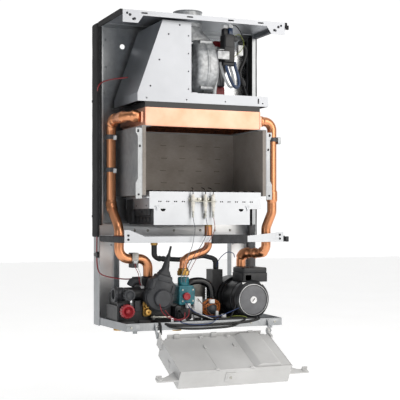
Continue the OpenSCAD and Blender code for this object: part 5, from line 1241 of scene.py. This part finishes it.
flow_body = softened("flow_block_body", "flow_block", 1.2, black_nylon)
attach(flow_body, "boiler")
barrel = rounded([(11, 0), (17, 0), (17.6, 2), (17.6, 7), (15.6, 9), (15.6, 22), (14.6, 23), (14.6, 44),
                  (11, 44)], 1.0, 3)
grey_nylon = glass_filled_nylon("grey_nylon", "#2c2e31", "#3a3c40", 0.45)
inlet_barrel = ringed("inlet_barrel", grey_nylon, barrel, (-194, 128, 78), rightward, columns=48)
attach(inlet_barrel, "boiler")
elbow_route = [(-150, 118, 96), (-146, 120, 104), (-138, 121, 107), (-128, 121, 106)]
block_details = piece("flow_block_details", grey_nylon, swept(eased(elbow_route), 9.0, 20),
                      set_out(hexagon_nut(30, 9), (-105, 110, 106), upright),
                      block((-189, 141, 22), (-172, 148, 60), 1.2, 3, axis=1),
                      block((-150, 141, 40), (-136, 149, 64), 1.2, 3, axis=1),
                      block((-140, 120, 8), (-104, 150, 20), 1.4, 4, axis=1),
                      block((-186, 130, 6), (-150, 150, 18), 1.4, 4, axis=1))
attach(block_details, "boiler")
red_nylon = glass_filled_nylon("red_nylon", "#8f1f28", "#a82a33", 0.38)


def grip_knob(radius, height, ribs, depth, crown):
    """Moulded knob: waves of the given depth round its skirt fade out on a shallow crowned face."""
    angle = np.linspace(0, 2 * pi, ribs * 10, endpoint=False)
    wave = np.clip(np.cos(angle * ribs) * 1.6, -1, 1)
    rows = []
    for level, share, grip in ((0, 0.93, 0.2), (0.06, 1, 1), (0.72, 1, 1), (0.84, 0.97, 0.7), (0.9, 0.9, 0.2),
                               (0.92, 0.72, 0), (0.92 - crown * 0.4, 0.66, 0), (0.92 - crown, 0.3, 0)):
        r = radius * share - depth * grip * (1 - wave) / 2
        rows.append(np.stack([r * np.cos(angle), r * np.sin(angle), np.full_like(r, height * level)],
                             axis=-1))
    return np.stack(rows)


def knob_seat(node, height):
    """Radius of a round CAD node that faces forward, and the place on its axis a height behind its face."""
    low, high = cad_box(node)
    return (high[0] - low[0]) / 2, ((low[0] + high[0]) / 2, high[1] - height, (low[2] + high[2]) / 2)


relief_h, fill_h, stem_r = 16, 14, 5.8
relief_r, relief_place = knob_seat("relief_knob", relief_h)
relief_button = lathed([(0.8, 4), (5.4, 4), (5.4, 13.4), (3.6, 14.6), (0.8, 14.6)], 0.8, 3, 24)
relief_red = piece("relief_knob_red", red_nylon,
                   set_out(grip_knob(relief_r, relief_h, 16, 1.5, 0.42), relief_place),
                   set_out(turned([(stem_r, -9), (stem_r, 1)], 24), relief_place),
                   set_out(relief_button, relief_place))
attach(relief_red, "relief_valve")
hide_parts("relief_knob")
fill_r, fill_place = knob_seat("fill_knob", fill_h)
fill = piece("fill_knob_black", grey_nylon, set_out(grip_knob(fill_r, fill_h, 12, 2.2, 0.3), fill_place),
             set_out(turned([(stem_r, -8), (stem_r, 1)], 24), fill_place))
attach(fill, "filling_valve")
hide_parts("fill_knob")

actuator_place, actuator_tilt = (-98, 146, 74), -15
bowl_r, head_half, cap_r, cap_shift = 33.0, 30.0, 20.0, 5.0
bowl = np.radians(np.linspace(185, 355, 34))
head_corners = [(head_half, 10), (head_half, 32), (head_half - 11, 39), (head_half - 13, 48),
                (13 - head_half, 48), (11 - head_half, 39), (-head_half, 32), (-head_half, 10)]
body_outline = np.concatenate([bowl_r * np.stack([np.cos(bowl), np.sin(bowl)], axis=1),
                               rounded(head_corners, 3.0, 3)])
body_layers = [(0, 0.3), (0, 19), (-1.2, 20), (-1.2, 21.2), (0, 22), (0, 27), (0.9, 28.6), (2.6, 29.6)]
cap_body = lathed([(cap_r, 29), (cap_r, 35.6), (cap_r - 2.2, 37.6), (cap_r - 4, 37.9), (1, 37.9)], 1.2, 3, 64)
cap_skin = cap_body + (cap_shift, -4, 0)
notch_skins = [block((side * 24 - 3, 14, 29), (side * 24 + 3, 30, 31.4), 0.8, 1.5) for side in (-1, 1)]
notch_skins.append(block((-16, 34, 29), (16, 38, 32), 0.9, 1.5))
recess_r, recess_h = 8.6, 9.4
recess_turn = np.arctan2(body_outline[:, 1], body_outline[:, 0])
recess_rings = [np.stack([recess_r * np.cos(recess_turn), recess_r * np.sin(recess_turn),
                          np.full_like(recess_turn, level)], axis=1) for level in (recess_h, 0.3)]
body_skin = np.concatenate([np.stack(recess_rings), pressed(body_outline, body_layers)])
actuator = piece("diverter_motor", grey_nylon, *[
    set_out(skin, actuator_place, tilt=actuator_tilt)
    for skin in (body_skin, cap_skin, *notch_skins)])
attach(actuator, "boiler")
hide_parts("diverter_actuator")
boot_steps = [(-1, 15.5, 10, 4), (3, 15.5, 10, 4), (5, 13.5, 9, 4), (9, 12.5, 9, 3), (12, 9.5, 8, 2.6),
              (15, 8.6, 7.6, 2.2), (24, 7.6, 7, 2), (34, 5.4, 5.4, 2), (36, 5.8, 5.8, 2), (37.5, 5.2, 5.2, 2),
              (40, 5.6, 5.6, 2), (41.5, 4.9, 4.9, 2), (44, 5.1, 5.1, 2), (46, 4.0, 4.0, 2), (50, 3.0, 3.0, 2),
              (60, 2.6, 2.6, 2), (66, 2.4, 2.4, 2), (67, 2.2, 2.2, 2)]
boot_rows, boot_foot, boot_d = [], 48.0, 15
for up, wide, deep, power in boot_steps:
    x, d = superellipse(wide, deep, power, 40)
    boot_rows.append(np.stack([x, np.full(40, boot_foot + up), d + boot_d], axis=-1))
boot = piece("actuator_boot_rubber", hose_rubber,
             set_out(np.stack(boot_rows), actuator_place, tilt=actuator_tilt))
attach(boot, "boiler")
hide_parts("actuator_boot")


# Plate heat exchanger: thin stainless plates brazed into one pack, which stands behind the valves. The
# diverter spool and the pump wheel are made of the same steel.
dress(stainless, "diverter_spool", "plate_exchanger", "pump_impeller")


# Gas valve: die cast body painted teal, with a black magnet coil on its left, a red adjuster, a white
# plate screwed to its side and a brass nut where the copper pipe comes in from above.
def teal_paint():
    """Powder paint over casting: dull teal with a fine orange peel."""
    made, tree, shader, place = start("teal_paint", "#1f6b76", 0.0, 0.42)
    mottle(tree, shader, noise(tree, place, 9), "#195b65", "#2a7a86")
    relief(tree, shader, noise(tree, place, 1.6, 2.0), 0.06, 0.4)
    return made


teal = teal_paint()
valve_front = cad_box("gas_valve")[1][1]
valve_body = piece("gas_valve_body", teal, block((-50, 102, 52), (-14, valve_front - 1, 96), 2.2, 4, axis=1),
                   block((-46, valve_front - 8, 56), (-12, valve_front + 0.2, 91), 1.6, 5, axis=1),
                   set_out(lathed([(8, 0), (12, 0), (13, 2), (13, 18), (11, 20), (8, 20)], 1.0, 3, 36),
                           (valve_x, gas_d, 95), upright),
                   set_out(lathed([(4, 0), (9, 0), (9, 16), (6, 16)], 1.0, 3, 32), (-40, 130, 3), upright))
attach(valve_body, "boiler")
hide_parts("gas_valve")
magnet = piece("gas_valve_magnet", black_nylon,
               block((-60, 116, 22), (-42, valve_front - 1, 52), 3.0, 5, axis=1),
               block((-54, 104, 19), (-16, valve_front - 6, 54), 2.2, 4, axis=1),
               set_out(lathed([(4, 0), (8, 0), (8, 3), (6.5, 4), (2, 4)], 0.8, 3, 30),
                       (-51, valve_front - 1.2, 37)))
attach(magnet, "boiler")
side_plate = piece("gas_valve_plate", white_nylon,
                   block((-14, valve_front - 12, 20), (-8.2, valve_front - 4, 72), 1.2, 2, axis=0),
                   block((-13, valve_front - 5, 22), (7, valve_front - 1, 70), 1.2, 3, axis=1))
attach(side_plate, "boiler")
valve_screws = piece("gas_valve_screws", bolt_steel,
                     *[set_out(screw_head(2.2, 1.4), (x, valve_front + 0.1, z))
                       for x, z in ((-42, 86), (-17, 86), (-42, 61), (-17, 61), (-3, 61), (-3, 30))])
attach(valve_screws, "boiler")
gas_knob = piece("gas_adjuster_red", red_nylon,
                 set_out(grip_knob(8.9, 8.6, 9, 1.1, 0.1), (valve_x, valve_front + 0.3, 72)),
                 set_out(turned([(stem_r, -4.6), (stem_r, 1)], 24), (valve_x, valve_front + 0.3, 72)))
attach(gas_knob, "gas_adjuster")
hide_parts("gas_valve_knob")


# Flow sensor: dark moulded dome over its turbine housing, with two white plugs, wound about with the
# spare length of its own orange lead.
sensor_x, sensor_z = 32, 42
dome_body = lathed([(1, 0), (18, 0), (18, 26), (19, 27), (19, 31), (17.4, 32), (17.2, 40), (15.5, 47),
                    (11, 54), (5, 57.6), (0.8, 58)], 2.0, 4, 56)
flow_dome = piece("flow_sensor_dome", grey_nylon, set_out(dome_body, (sensor_x, 110, sensor_z)),
                  set_out(lathed([(4, 0), (11, 0), (11, 40), (4, 40)], 1.5, 3, 32), (sensor_x, 132, 3),
                          upright),
                  block((sensor_x - 9, 138, sensor_z - 26), (sensor_x + 9, 152, sensor_z - 10), 1.4, 3))
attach(flow_dome, "boiler")
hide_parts("flow_sensor")
sensor_plug = piece("sensor_plug", white_nylon,
                    block((sensor_x - 8, 160, sensor_z + 12), (sensor_x + 4, 170, sensor_z + 21), 1.2, 2),
                    block((sensor_x + 8, 158, sensor_z - 20), (sensor_x + 15, 166, sensor_z - 6), 1.0, 1.5))
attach(sensor_plug, "boiler")
orange_lead = silicone_lead("orange_lead", "#c8772f", "#a35322")


def spare_turns(centre, radius, turns, wander, step=0.16):
    """Loose coil of lead around a centre: the radius and the depth wander by sines of unlike periods."""
    t = np.arange(0, 2 * pi * turns, step)
    r = radius + wander * np.sin(2.3 * t)
    return np.stack([centre[0] + r * np.cos(t), centre[1] + 1.4 * wander * np.sin(0.9 * t + 0.5),
                     centre[2] + 0.82 * r * np.sin(t)], axis=-1)


sensor_coil = piece("sensor_lead_coil", orange_lead,
                    swept(spare_turns((sensor_x, 154, sensor_z + 2), 21, 5.3, 2.6), 0.85, 8),
                    swept(spare_turns((sensor_x - 4, 160, sensor_z - 2), 15, 2.6, 3.4), 0.85, 8))
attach(sensor_coil, "boiler")


# Pump: black moulded volute bolted to a round motor whose grooved can ends in a face disc with a light
# ring and a slotted vent screw. The terminal box stands on the motor and a bright band clasps it.
def aged_bright_steel():
    """Bright rolled steel band, slightly dulled."""
    made, tree, shader, place = start("bright_band", "#dcdddd", 0.7, 0.42)
    mottle(tree, shader, noise(tree, place, 9), "#cdcece", "#ebebeb")
    return made


def cataphoretic_paint():
    """Dip paint on a cast can: near black, satin, with a fine cast skin below."""
    made, tree, shader, place = start("dip_paint", "#1b1c1e", 0.0, 0.4)
    mottle(tree, shader, noise(tree, place, 14), "#151617", "#26272a")
    relief(tree, shader, noise(tree, place, 1.8, 4.0), 0.12, 0.4)
    return made


band_steel = aged_bright_steel()
can_paint = cataphoretic_paint()
pump_place = pump_x, pump_back, pump_z = 119, 112, 61.6
volute_body = softened("pump_volute_body", "pump_volute", 1.4, black_nylon)
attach(volute_body, "boiler")
can_outline = [(6, 0.3), (44.6, 0.3), (44.6, 8), (42.6, 9), (42.6, 12), (44.9, 13), (44.9, 56), (43.2, 57),
               (43.2, 60), (44.9, 61), (44.9, 76), (43.6, 79), (41.6, 81), (40, 84), (36, 86.2), (34.8, 88.6),
               (33.6, 88.8), (33.0, 86.6), (5.4, 86.6), (5.2, 70)]
pump_can = piece("pump_can", can_paint, set_out(lathed(can_outline, 1.2, 3, 96), pump_place))
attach(pump_can, "boiler")
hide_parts("pump_motor")
face_ring = ringed("pump_face_ring", band_steel,
                   rounded([(33.2, 86.0), (36.2, 86.0), (36.2, 87.6), (35.2, 88.4), (34.2, 88.4),
                            (33.2, 87.6)], 0.6, 3), pump_place, (0, 1, 0), columns=96)
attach(face_ring, "boiler")
disc = piece("pump_label_disc", glass_filled_nylon("disc_grey", "#606164", "#727376", 0.4),
             set_out(lathed([(7.5, 86.4), (33.4, 86.4), (33.4, 87.2), (7.5, 87.2)], 0.3, 2, 80), pump_place))
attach(disc, "boiler")
dress(band_steel, "vent_screw")
_, vent_place = knob_seat("vent_screw", 0.5)
vent_slot = piece("vent_screw_slot", black_bolt,
                  set_out(block((-4.8, -0.9, 0), (4.8, 0.9, 0.8), 0.3), vent_place, tilt=50))
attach(vent_slot, "vent_plug")
(box_x0, box_d0, _), (box_x1, box_d1, box_z1) = cad_box("terminal_box")
box_h = 33
box_z0 = box_z1 - box_h
gland_low, gland_high = (box_x0 + 6, box_d1 - 2, box_z0 + 3), (box_x0 + 22, box_d1, box_z0 + 17)
terminal = piece("pump_terminal_box", black_nylon,
                 block((box_x0, box_d0, box_z0), (box_x1, box_d1, box_z0 + 21), 1.6, 4),
                 block((box_x0 + 0.8, box_d0 + 0.8, box_z0 + 20), (box_x1 - 0.8, box_d1 - 0.8, box_z1), 2.6,
                       5), block((pump_x - 17, box_d0 + 4, pump_z + 42.8),
                                 (pump_x + 17, box_d1 - 8, box_z0 + 2), 1.0, 2),
                 block(gland_low, gland_high, 0.8, 1.6, axis=1))
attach(terminal, "boiler")
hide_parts("terminal_box")
clasp = piece("pump_clasp", band_steel, block((93.5, 190.6, 97.2), (122, 192.4, 101.2), 0.5, 1, axis=1),
              block((126, 190.6, 95.4), (152, 192.4, 99.2), 0.5, 1, axis=1))
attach(clasp, "boiler")


# Arch pipe and test fitting: black glossy moulded pipe that rises behind the gas valve and turns down to
# the flow sensor, and the brass fitting with two nozzles screwed into the front of the flow block. A
# plated drain rod lies beside it.
gloss_black = glass_filled_nylon("gloss_black", "#0c0d0f", "#16171a", 0.2)
arch_route = [(-22, 128, 84), (-16, 129, 96), (-2, 130, 103), (20, 130, 103), (37, 130, 94), (44, 130, 78),
              (44, 130, 64)]
arch = piece("arch_pipe", gloss_black, swept(eased(arch_route, 3.0), 8.2, 20),
             set_out(lathed([(8, 0), (11, 0), (11, 5), (8, 5)], 0.8, 3, 32), (44, 130, 62), upright))
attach(arch, "boiler")
fitting_x, fitting_d = -123, 146
nozzles = []
for shift, z, r in ((1, 38, 7.6), (-1, 53, 6.0)):
    nozzle = lathed([(3, 0), (r, 0), (r, 3), (r - 1.6, 4), (r - 1.6, 9), (r - 0.6, 10), (r - 0.6, 12),
                     (2.2, 12), (2.0, 8)], 0.6, 2, 24)
    nozzles.append(set_out(nozzle, (fitting_x + shift, fitting_d + 3.5, z)))
fitting_body = block((fitting_x - 8, fitting_d - 1, 28), (fitting_x + 7, fitting_d + 5, 62), 1.6, 4, axis=1)
test_fitting = piece("test_fitting", brass, fitting_body, *nozzles)
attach(test_fitting, "boiler")
drain_rod = piece("drain_rod", bolt_steel,
                  swept(np.array([(-114, 158, 27), (-92, 160, 26.4), (-69, 161, 25.5)]), 3.0, 16),
                  set_out(hexagon_nut(11, 5), (-112, 158, 27), rightward))
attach(drain_rod, "boiler")


# Loose wiring of the tray: sheathed cables and single leads from the valves, the sensors and the pump,
# gathered by hand along the tray's front edge on their way to the control box.
dress(sheath, "wiring_loom")
blue_lead = silicone_lead("blue_lead", "#1f3f78", "#152b55")
red_lead = silicone_lead("red_lead", "#a03038", "#78222a")
pale_lead = silicone_lead("pale_lead", "#d6d6d4", "#b9b9b7")
brown_lead = silicone_lead("brown_lead", "#6b4128", "#4d2e1c")
tray_leads = [("box_cable_right", sheath, 3.6,
               [(-24, 180, 36), (4, 188, 25), (44, 194, 20), (86, 197, 20), (118, 198, 18), (138, 198, 12)]),
              ("box_cable_left", sheath, 2.8,
               [(-122, 178, 20), (-114, 190, 20), (-106, 198, 17), (-99, 202, 9)]),
              ("box_cable_middle", sheath, 2.2,
               [(-70, 182, 14), (-52, 194, 18), (-20, 199, 19), (20, 199, 17), (52, 198, 14)]),
              ("beam_cable_long", sheath, 3.0,
               [(-102, 200, 17), (-92, 206.5, 14), (-60, 208, 11), (-14, 208, 10), (40, 208, 10.5),
                (96, 207.5, 13), (128, 205, 18), (134, 198, 22)]),
              ("beam_cable_thin", sheath, 2.2,
               [(-98, 202, 15), (-84, 209, 8), (-44, 211, 3), (8, 211, 2.4), (60, 210.5, 5), (92, 206, 17),
                (98, 198, 22)]),
              ("beam_cable_drop", sheath, 2.6,
               [(-118, 190, 22), (-113, 203, 20), (-111.5, 209.5, 12), (-111.5, 211, 2), (-112, 212, -7)]),
              ("beam_lead_blue", blue_lead, 0.9,
               [(-70, 200, 22), (-52, 210, 15), (-20, 213, 12), (10, 212, 15), (30, 202, 24)]),
              ("sensor_lead_yellow", yellow_lead, 0.9,
               [(44, 158, 30), (58, 178, 22), (76, 194, 26), (98, 199, 24), (112, 200, 14)]),
              ("sensor_lead_blue", blue_lead, 0.9,
               [(-38, 172, 62), (-28, 188, 42), (0, 198, 30), (32, 199, 28), (62, 196, 36), (84, 196, 44)]),
              ("valve_lead_red", red_lead, 0.9,
               [(-104, 184, 58), (-101, 194, 40), (-84, 200, 26), (-60, 200, 22), (-40, 194, 30),
                (-32, 180, 44)]),
              ("valve_lead_rose", red_lead, 0.9,
               [(-92, 186, 44), (-84, 198, 31), (-68, 201, 24), (-52, 199, 27), (-46, 190, 38)]),
              ("valve_lead_pale", pale_lead, 0.9,
               [(-30, 172, 56), (-20, 190, 38), (4, 200, 27), (18, 196, 22), (26, 184, 22)]),
              ("valve_lead_brown", brown_lead, 0.9,
               [(-6, 168, 66), (4, 186, 48), (14, 196, 32), (30, 196, 26), (46, 182, 28)]),
              ("valve_lead_black", sheath, 1.4,
               [(-52, 160, 42), (-58, 176, 36), (-60, 188, 24), (-50, 196, 16), (-30, 198, 13)]),
              ("pump_lead_black", sheath, 1.4,
               [(100, 188, 108), (92, 192, 96), (84, 194, 74), (76, 194, 48), (66, 192, 26), (54, 192, 15)]),
              ("pump_lead_blue", blue_lead, 0.9,
               [(72, 92, 130), (76, 104, 152), (90, 116, 168), (106, 116, 166), (114, 108, 156)]),
              ("clip_lead_red", red_lead, 0.8,
               [(-141, 124, 152), (-142, 130, 138), (-136, 134, 122), (-133, 132, 104), (-128, 134, 92)]),
              ("clip_lead_pale", pale_lead, 0.8,
               [(-138, 124, 152), (-137, 131, 138), (-131, 134, 121), (-129, 132, 104), (-126, 134, 92)])]
for name, finish, radius, path in tray_leads:
    lead = piece(name, finish, swept(eased(path, 2.5), radius, 8))
    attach(lead, "boiler")
lead_plugs = piece("lead_plugs", white_nylon, block((-131, 128, 84), (-123, 137, 96), 1.0, 1.5),
                   block((48, 176, 20), (58, 184, 30), 1.0, 1.5),
                   block((-36, 166, 46), (-26, 176, 56), 1.0, 1.5),
                   block((-144, 120, 146), (-135, 127, 153), 0.8, 1.2))
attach(lead_plugs, "boiler")


# Control box: light grey ABS tray hinged on the bottom frame, hanging open with its back to the
# viewer. Its rear cover has a raised section with a sloping side, and snaps under small tabs. It holds
# the circuit board, and two knobs and the pressure gauge sit in its front.
def pale_plastic():
    """ABS moulding: light warm grey, fine spark texture, a trace of dust in broad patches."""
    made, tree, shader, place = start("pale_plastic", "#c6c6c5", 0.0, 0.45)
    mottle(tree, shader, noise(tree, place, 90, 4.0), "#bdbdbc", "#cdcdcc")
    polish(tree, shader, noise(tree, place, 30), 0.4, 0.52)
    relief(tree, shader, noise(tree, place, 0.7, 2.0), 0.03, 0.4)
    return made


pale = pale_plastic()
hinge_d, hinge_z, open_turn = 216.0, -8.0, radians(116)
cover_x0, cover_x1, cover_z0, cover_z1 = -115.0, 145.0, 9.0, 136.0


def hung(skin):
    """Skin drawn with the box shut (across, back from the hinge, up from the hinge), swung open about the
    hinge: depth = hinge depth - y cos a + z sin a and height = hinge height + y sin a + z cos a."""
    x, y, z = skin[..., 0], skin[..., 1], skin[..., 2]
    return np.stack([x, hinge_d - y * np.cos(open_turn) + z * np.sin(open_turn),
                     hinge_z + y * np.sin(open_turn) + z * np.cos(open_turn)], axis=-1)


def lengthwise(outline, z0, z1, soft):
    """Body of an outline of across and back pairs, carried up from z0 to z1 with both rims softened."""
    return pressed(outline, soft_layers(z1 - z0, soft)) + (0, 0, z0)


cover_plate = rounded([(cover_x0 + 1.6, -7), (cover_x1 - 1.6, -7), (cover_x1 - 1.6, -4.8),
                       (cover_x0 + 1.6, -4.8)], 0.6, 2)
raised = rounded([(56, -6.5), (cover_x1 - 1.8, -6.5), (cover_x1 - 1.8, -2.4), (121, -2.4), (115, 4), (71, 4),
                  (57, -4.8)], (0.3, 0.3, 1, 2, 2.4, 2.4, 1.5), 3)
cover_skins = [lengthwise(cover_plate, cover_z0 + 1.5, cover_z1 - 1.6, 0.6),
               lengthwise(raised, cover_z0 + 1, cover_z1 - 2.2, 1.4)]
cover_skins += [block((x - 3.0, -5.4, z), (x + 3.0, -2.0, z + 13), 0.9, 1.4)
                for x, z in ((-26, 41), (45, 39))]
cover_skins += [block((-28.6, -5.2, 55), (-27.4, -4.2, cover_z1 - 3), 0.4, 0.5)]
cover_skins += [block((x - 4.5, -6, z), (x + 4.5, -0.6, z + 5), 1.0, 1.4)
                for x, z in ((-21, 7), (44, 7), (-31, 132), (50, 132))]
cover = piece("control_cover_panel", pale, *[hung(skin) for skin in cover_skins], sharp=30)
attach(cover, "control_box")
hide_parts("control_cover")

tray = softened("control_tray_shell", "control_tray", 0.8, pale)
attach(tray, "control_box")
rim_skins = [block((cover_x0 - 1.0, -11, cover_z0), (cover_x0 + 1.2, -3.0, cover_z1 + 1.0), 0.7, 0.8),
             block((cover_x1 - 1.2, -11, cover_z0), (cover_x1 + 1.0, -3.0, cover_z1 + 1.0), 0.7, 0.8),
             block((cover_x0 - 1.0, -11, cover_z1 - 1.2), (cover_x1 + 1.0, -3.0, cover_z1 + 1.0), 0.7, 0.8)]
rim_skins += [block((cover_x0 + 11, -40, 2), (cover_x1 - 7, -6, cover_z0 + 0.4), 1.4, 3, axis=1),
              block((cover_x0 + 15, -7, 2), (cover_x1 - 17, 3.2, 4.2), 0.8, 1, axis=1)]
rim_skins += [block((x - 7, -7, 1.5), (x + 7, 4.6, 8), 1.2, 2, axis=1) for x in (-78, 10, 100)]
arm_outline = rounded([(cover_x0 + 1, 134), (cover_x0 + 1, 100), (cover_x0 - 14, 112), (cover_x0 - 30, 121),
                       (cover_x0 - 47, 123), (cover_x0 - 47, 134)], (1, 4, 6, 6, 5, 5), 3)
arm = pressed(arm_outline, soft_layers(3.4, 1.0))
arm_upright = np.stack([arm[..., 0], arm[..., 2] - 29, arm[..., 1]], axis=-1)
boss_skin = lathed([(3.2, 0), (6.2, 0), (6.2, 7), (3.2, 7)], 1.2, 3, 24)
boss_upright = np.stack([boss_skin[..., 0] + cover_x0 - 40, boss_skin[..., 2] - 29,
                         boss_skin[..., 1] + 127.5], axis=-1)
middle_x = (cover_x0 + cover_x1) / 2
for skin in (arm_upright, boss_upright):
    rim_skins += [skin, skin * (-1, 1, 1) + (2 * middle_x, 0, 0)]
rim_skins += [block((-10, -35, cover_z1 - 0.5), (14, -13, cover_z1 + 1.6), 0.8, 2),
              block((-6, -31, cover_z1 + 0.5), (10, -17, cover_z1 + 2.6), 0.8, 2),
              block((cover_x0 - 1.4, -34, 62), (cover_x0 + 0.5, -20, 78), 0.8, 2, axis=0)]
tray_rim = piece("control_tray_rim", pale, *[hung(skin) for skin in rim_skins], sharp=30)
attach(tray_rim, "control_box")
latch_head = screw_head(3.2, 1.4) + (2, -24, cover_z1 + 2.4)
latch_screw = piece("control_latch_screw", bolt_steel, hung(latch_head))
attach(latch_screw, "control_box")


def circuit_laminate():
    """Glass-epoxy board under solder resist: deep green with faint conductor runs."""
    made, tree, shader, place = start("circuit_laminate", "#1d5a35", 0.0, 0.35)
    mottle(tree, shader, noise(tree, place, 3.0, 2.0, (1, 0.2, 1)), "#174a2b", "#267044")
    return made


dress(circuit_laminate(), "circuit_board")
dress(grey_nylon, "heating_knob", "hot_water_knob")
dress(white_nylon, "pressure_gauge")
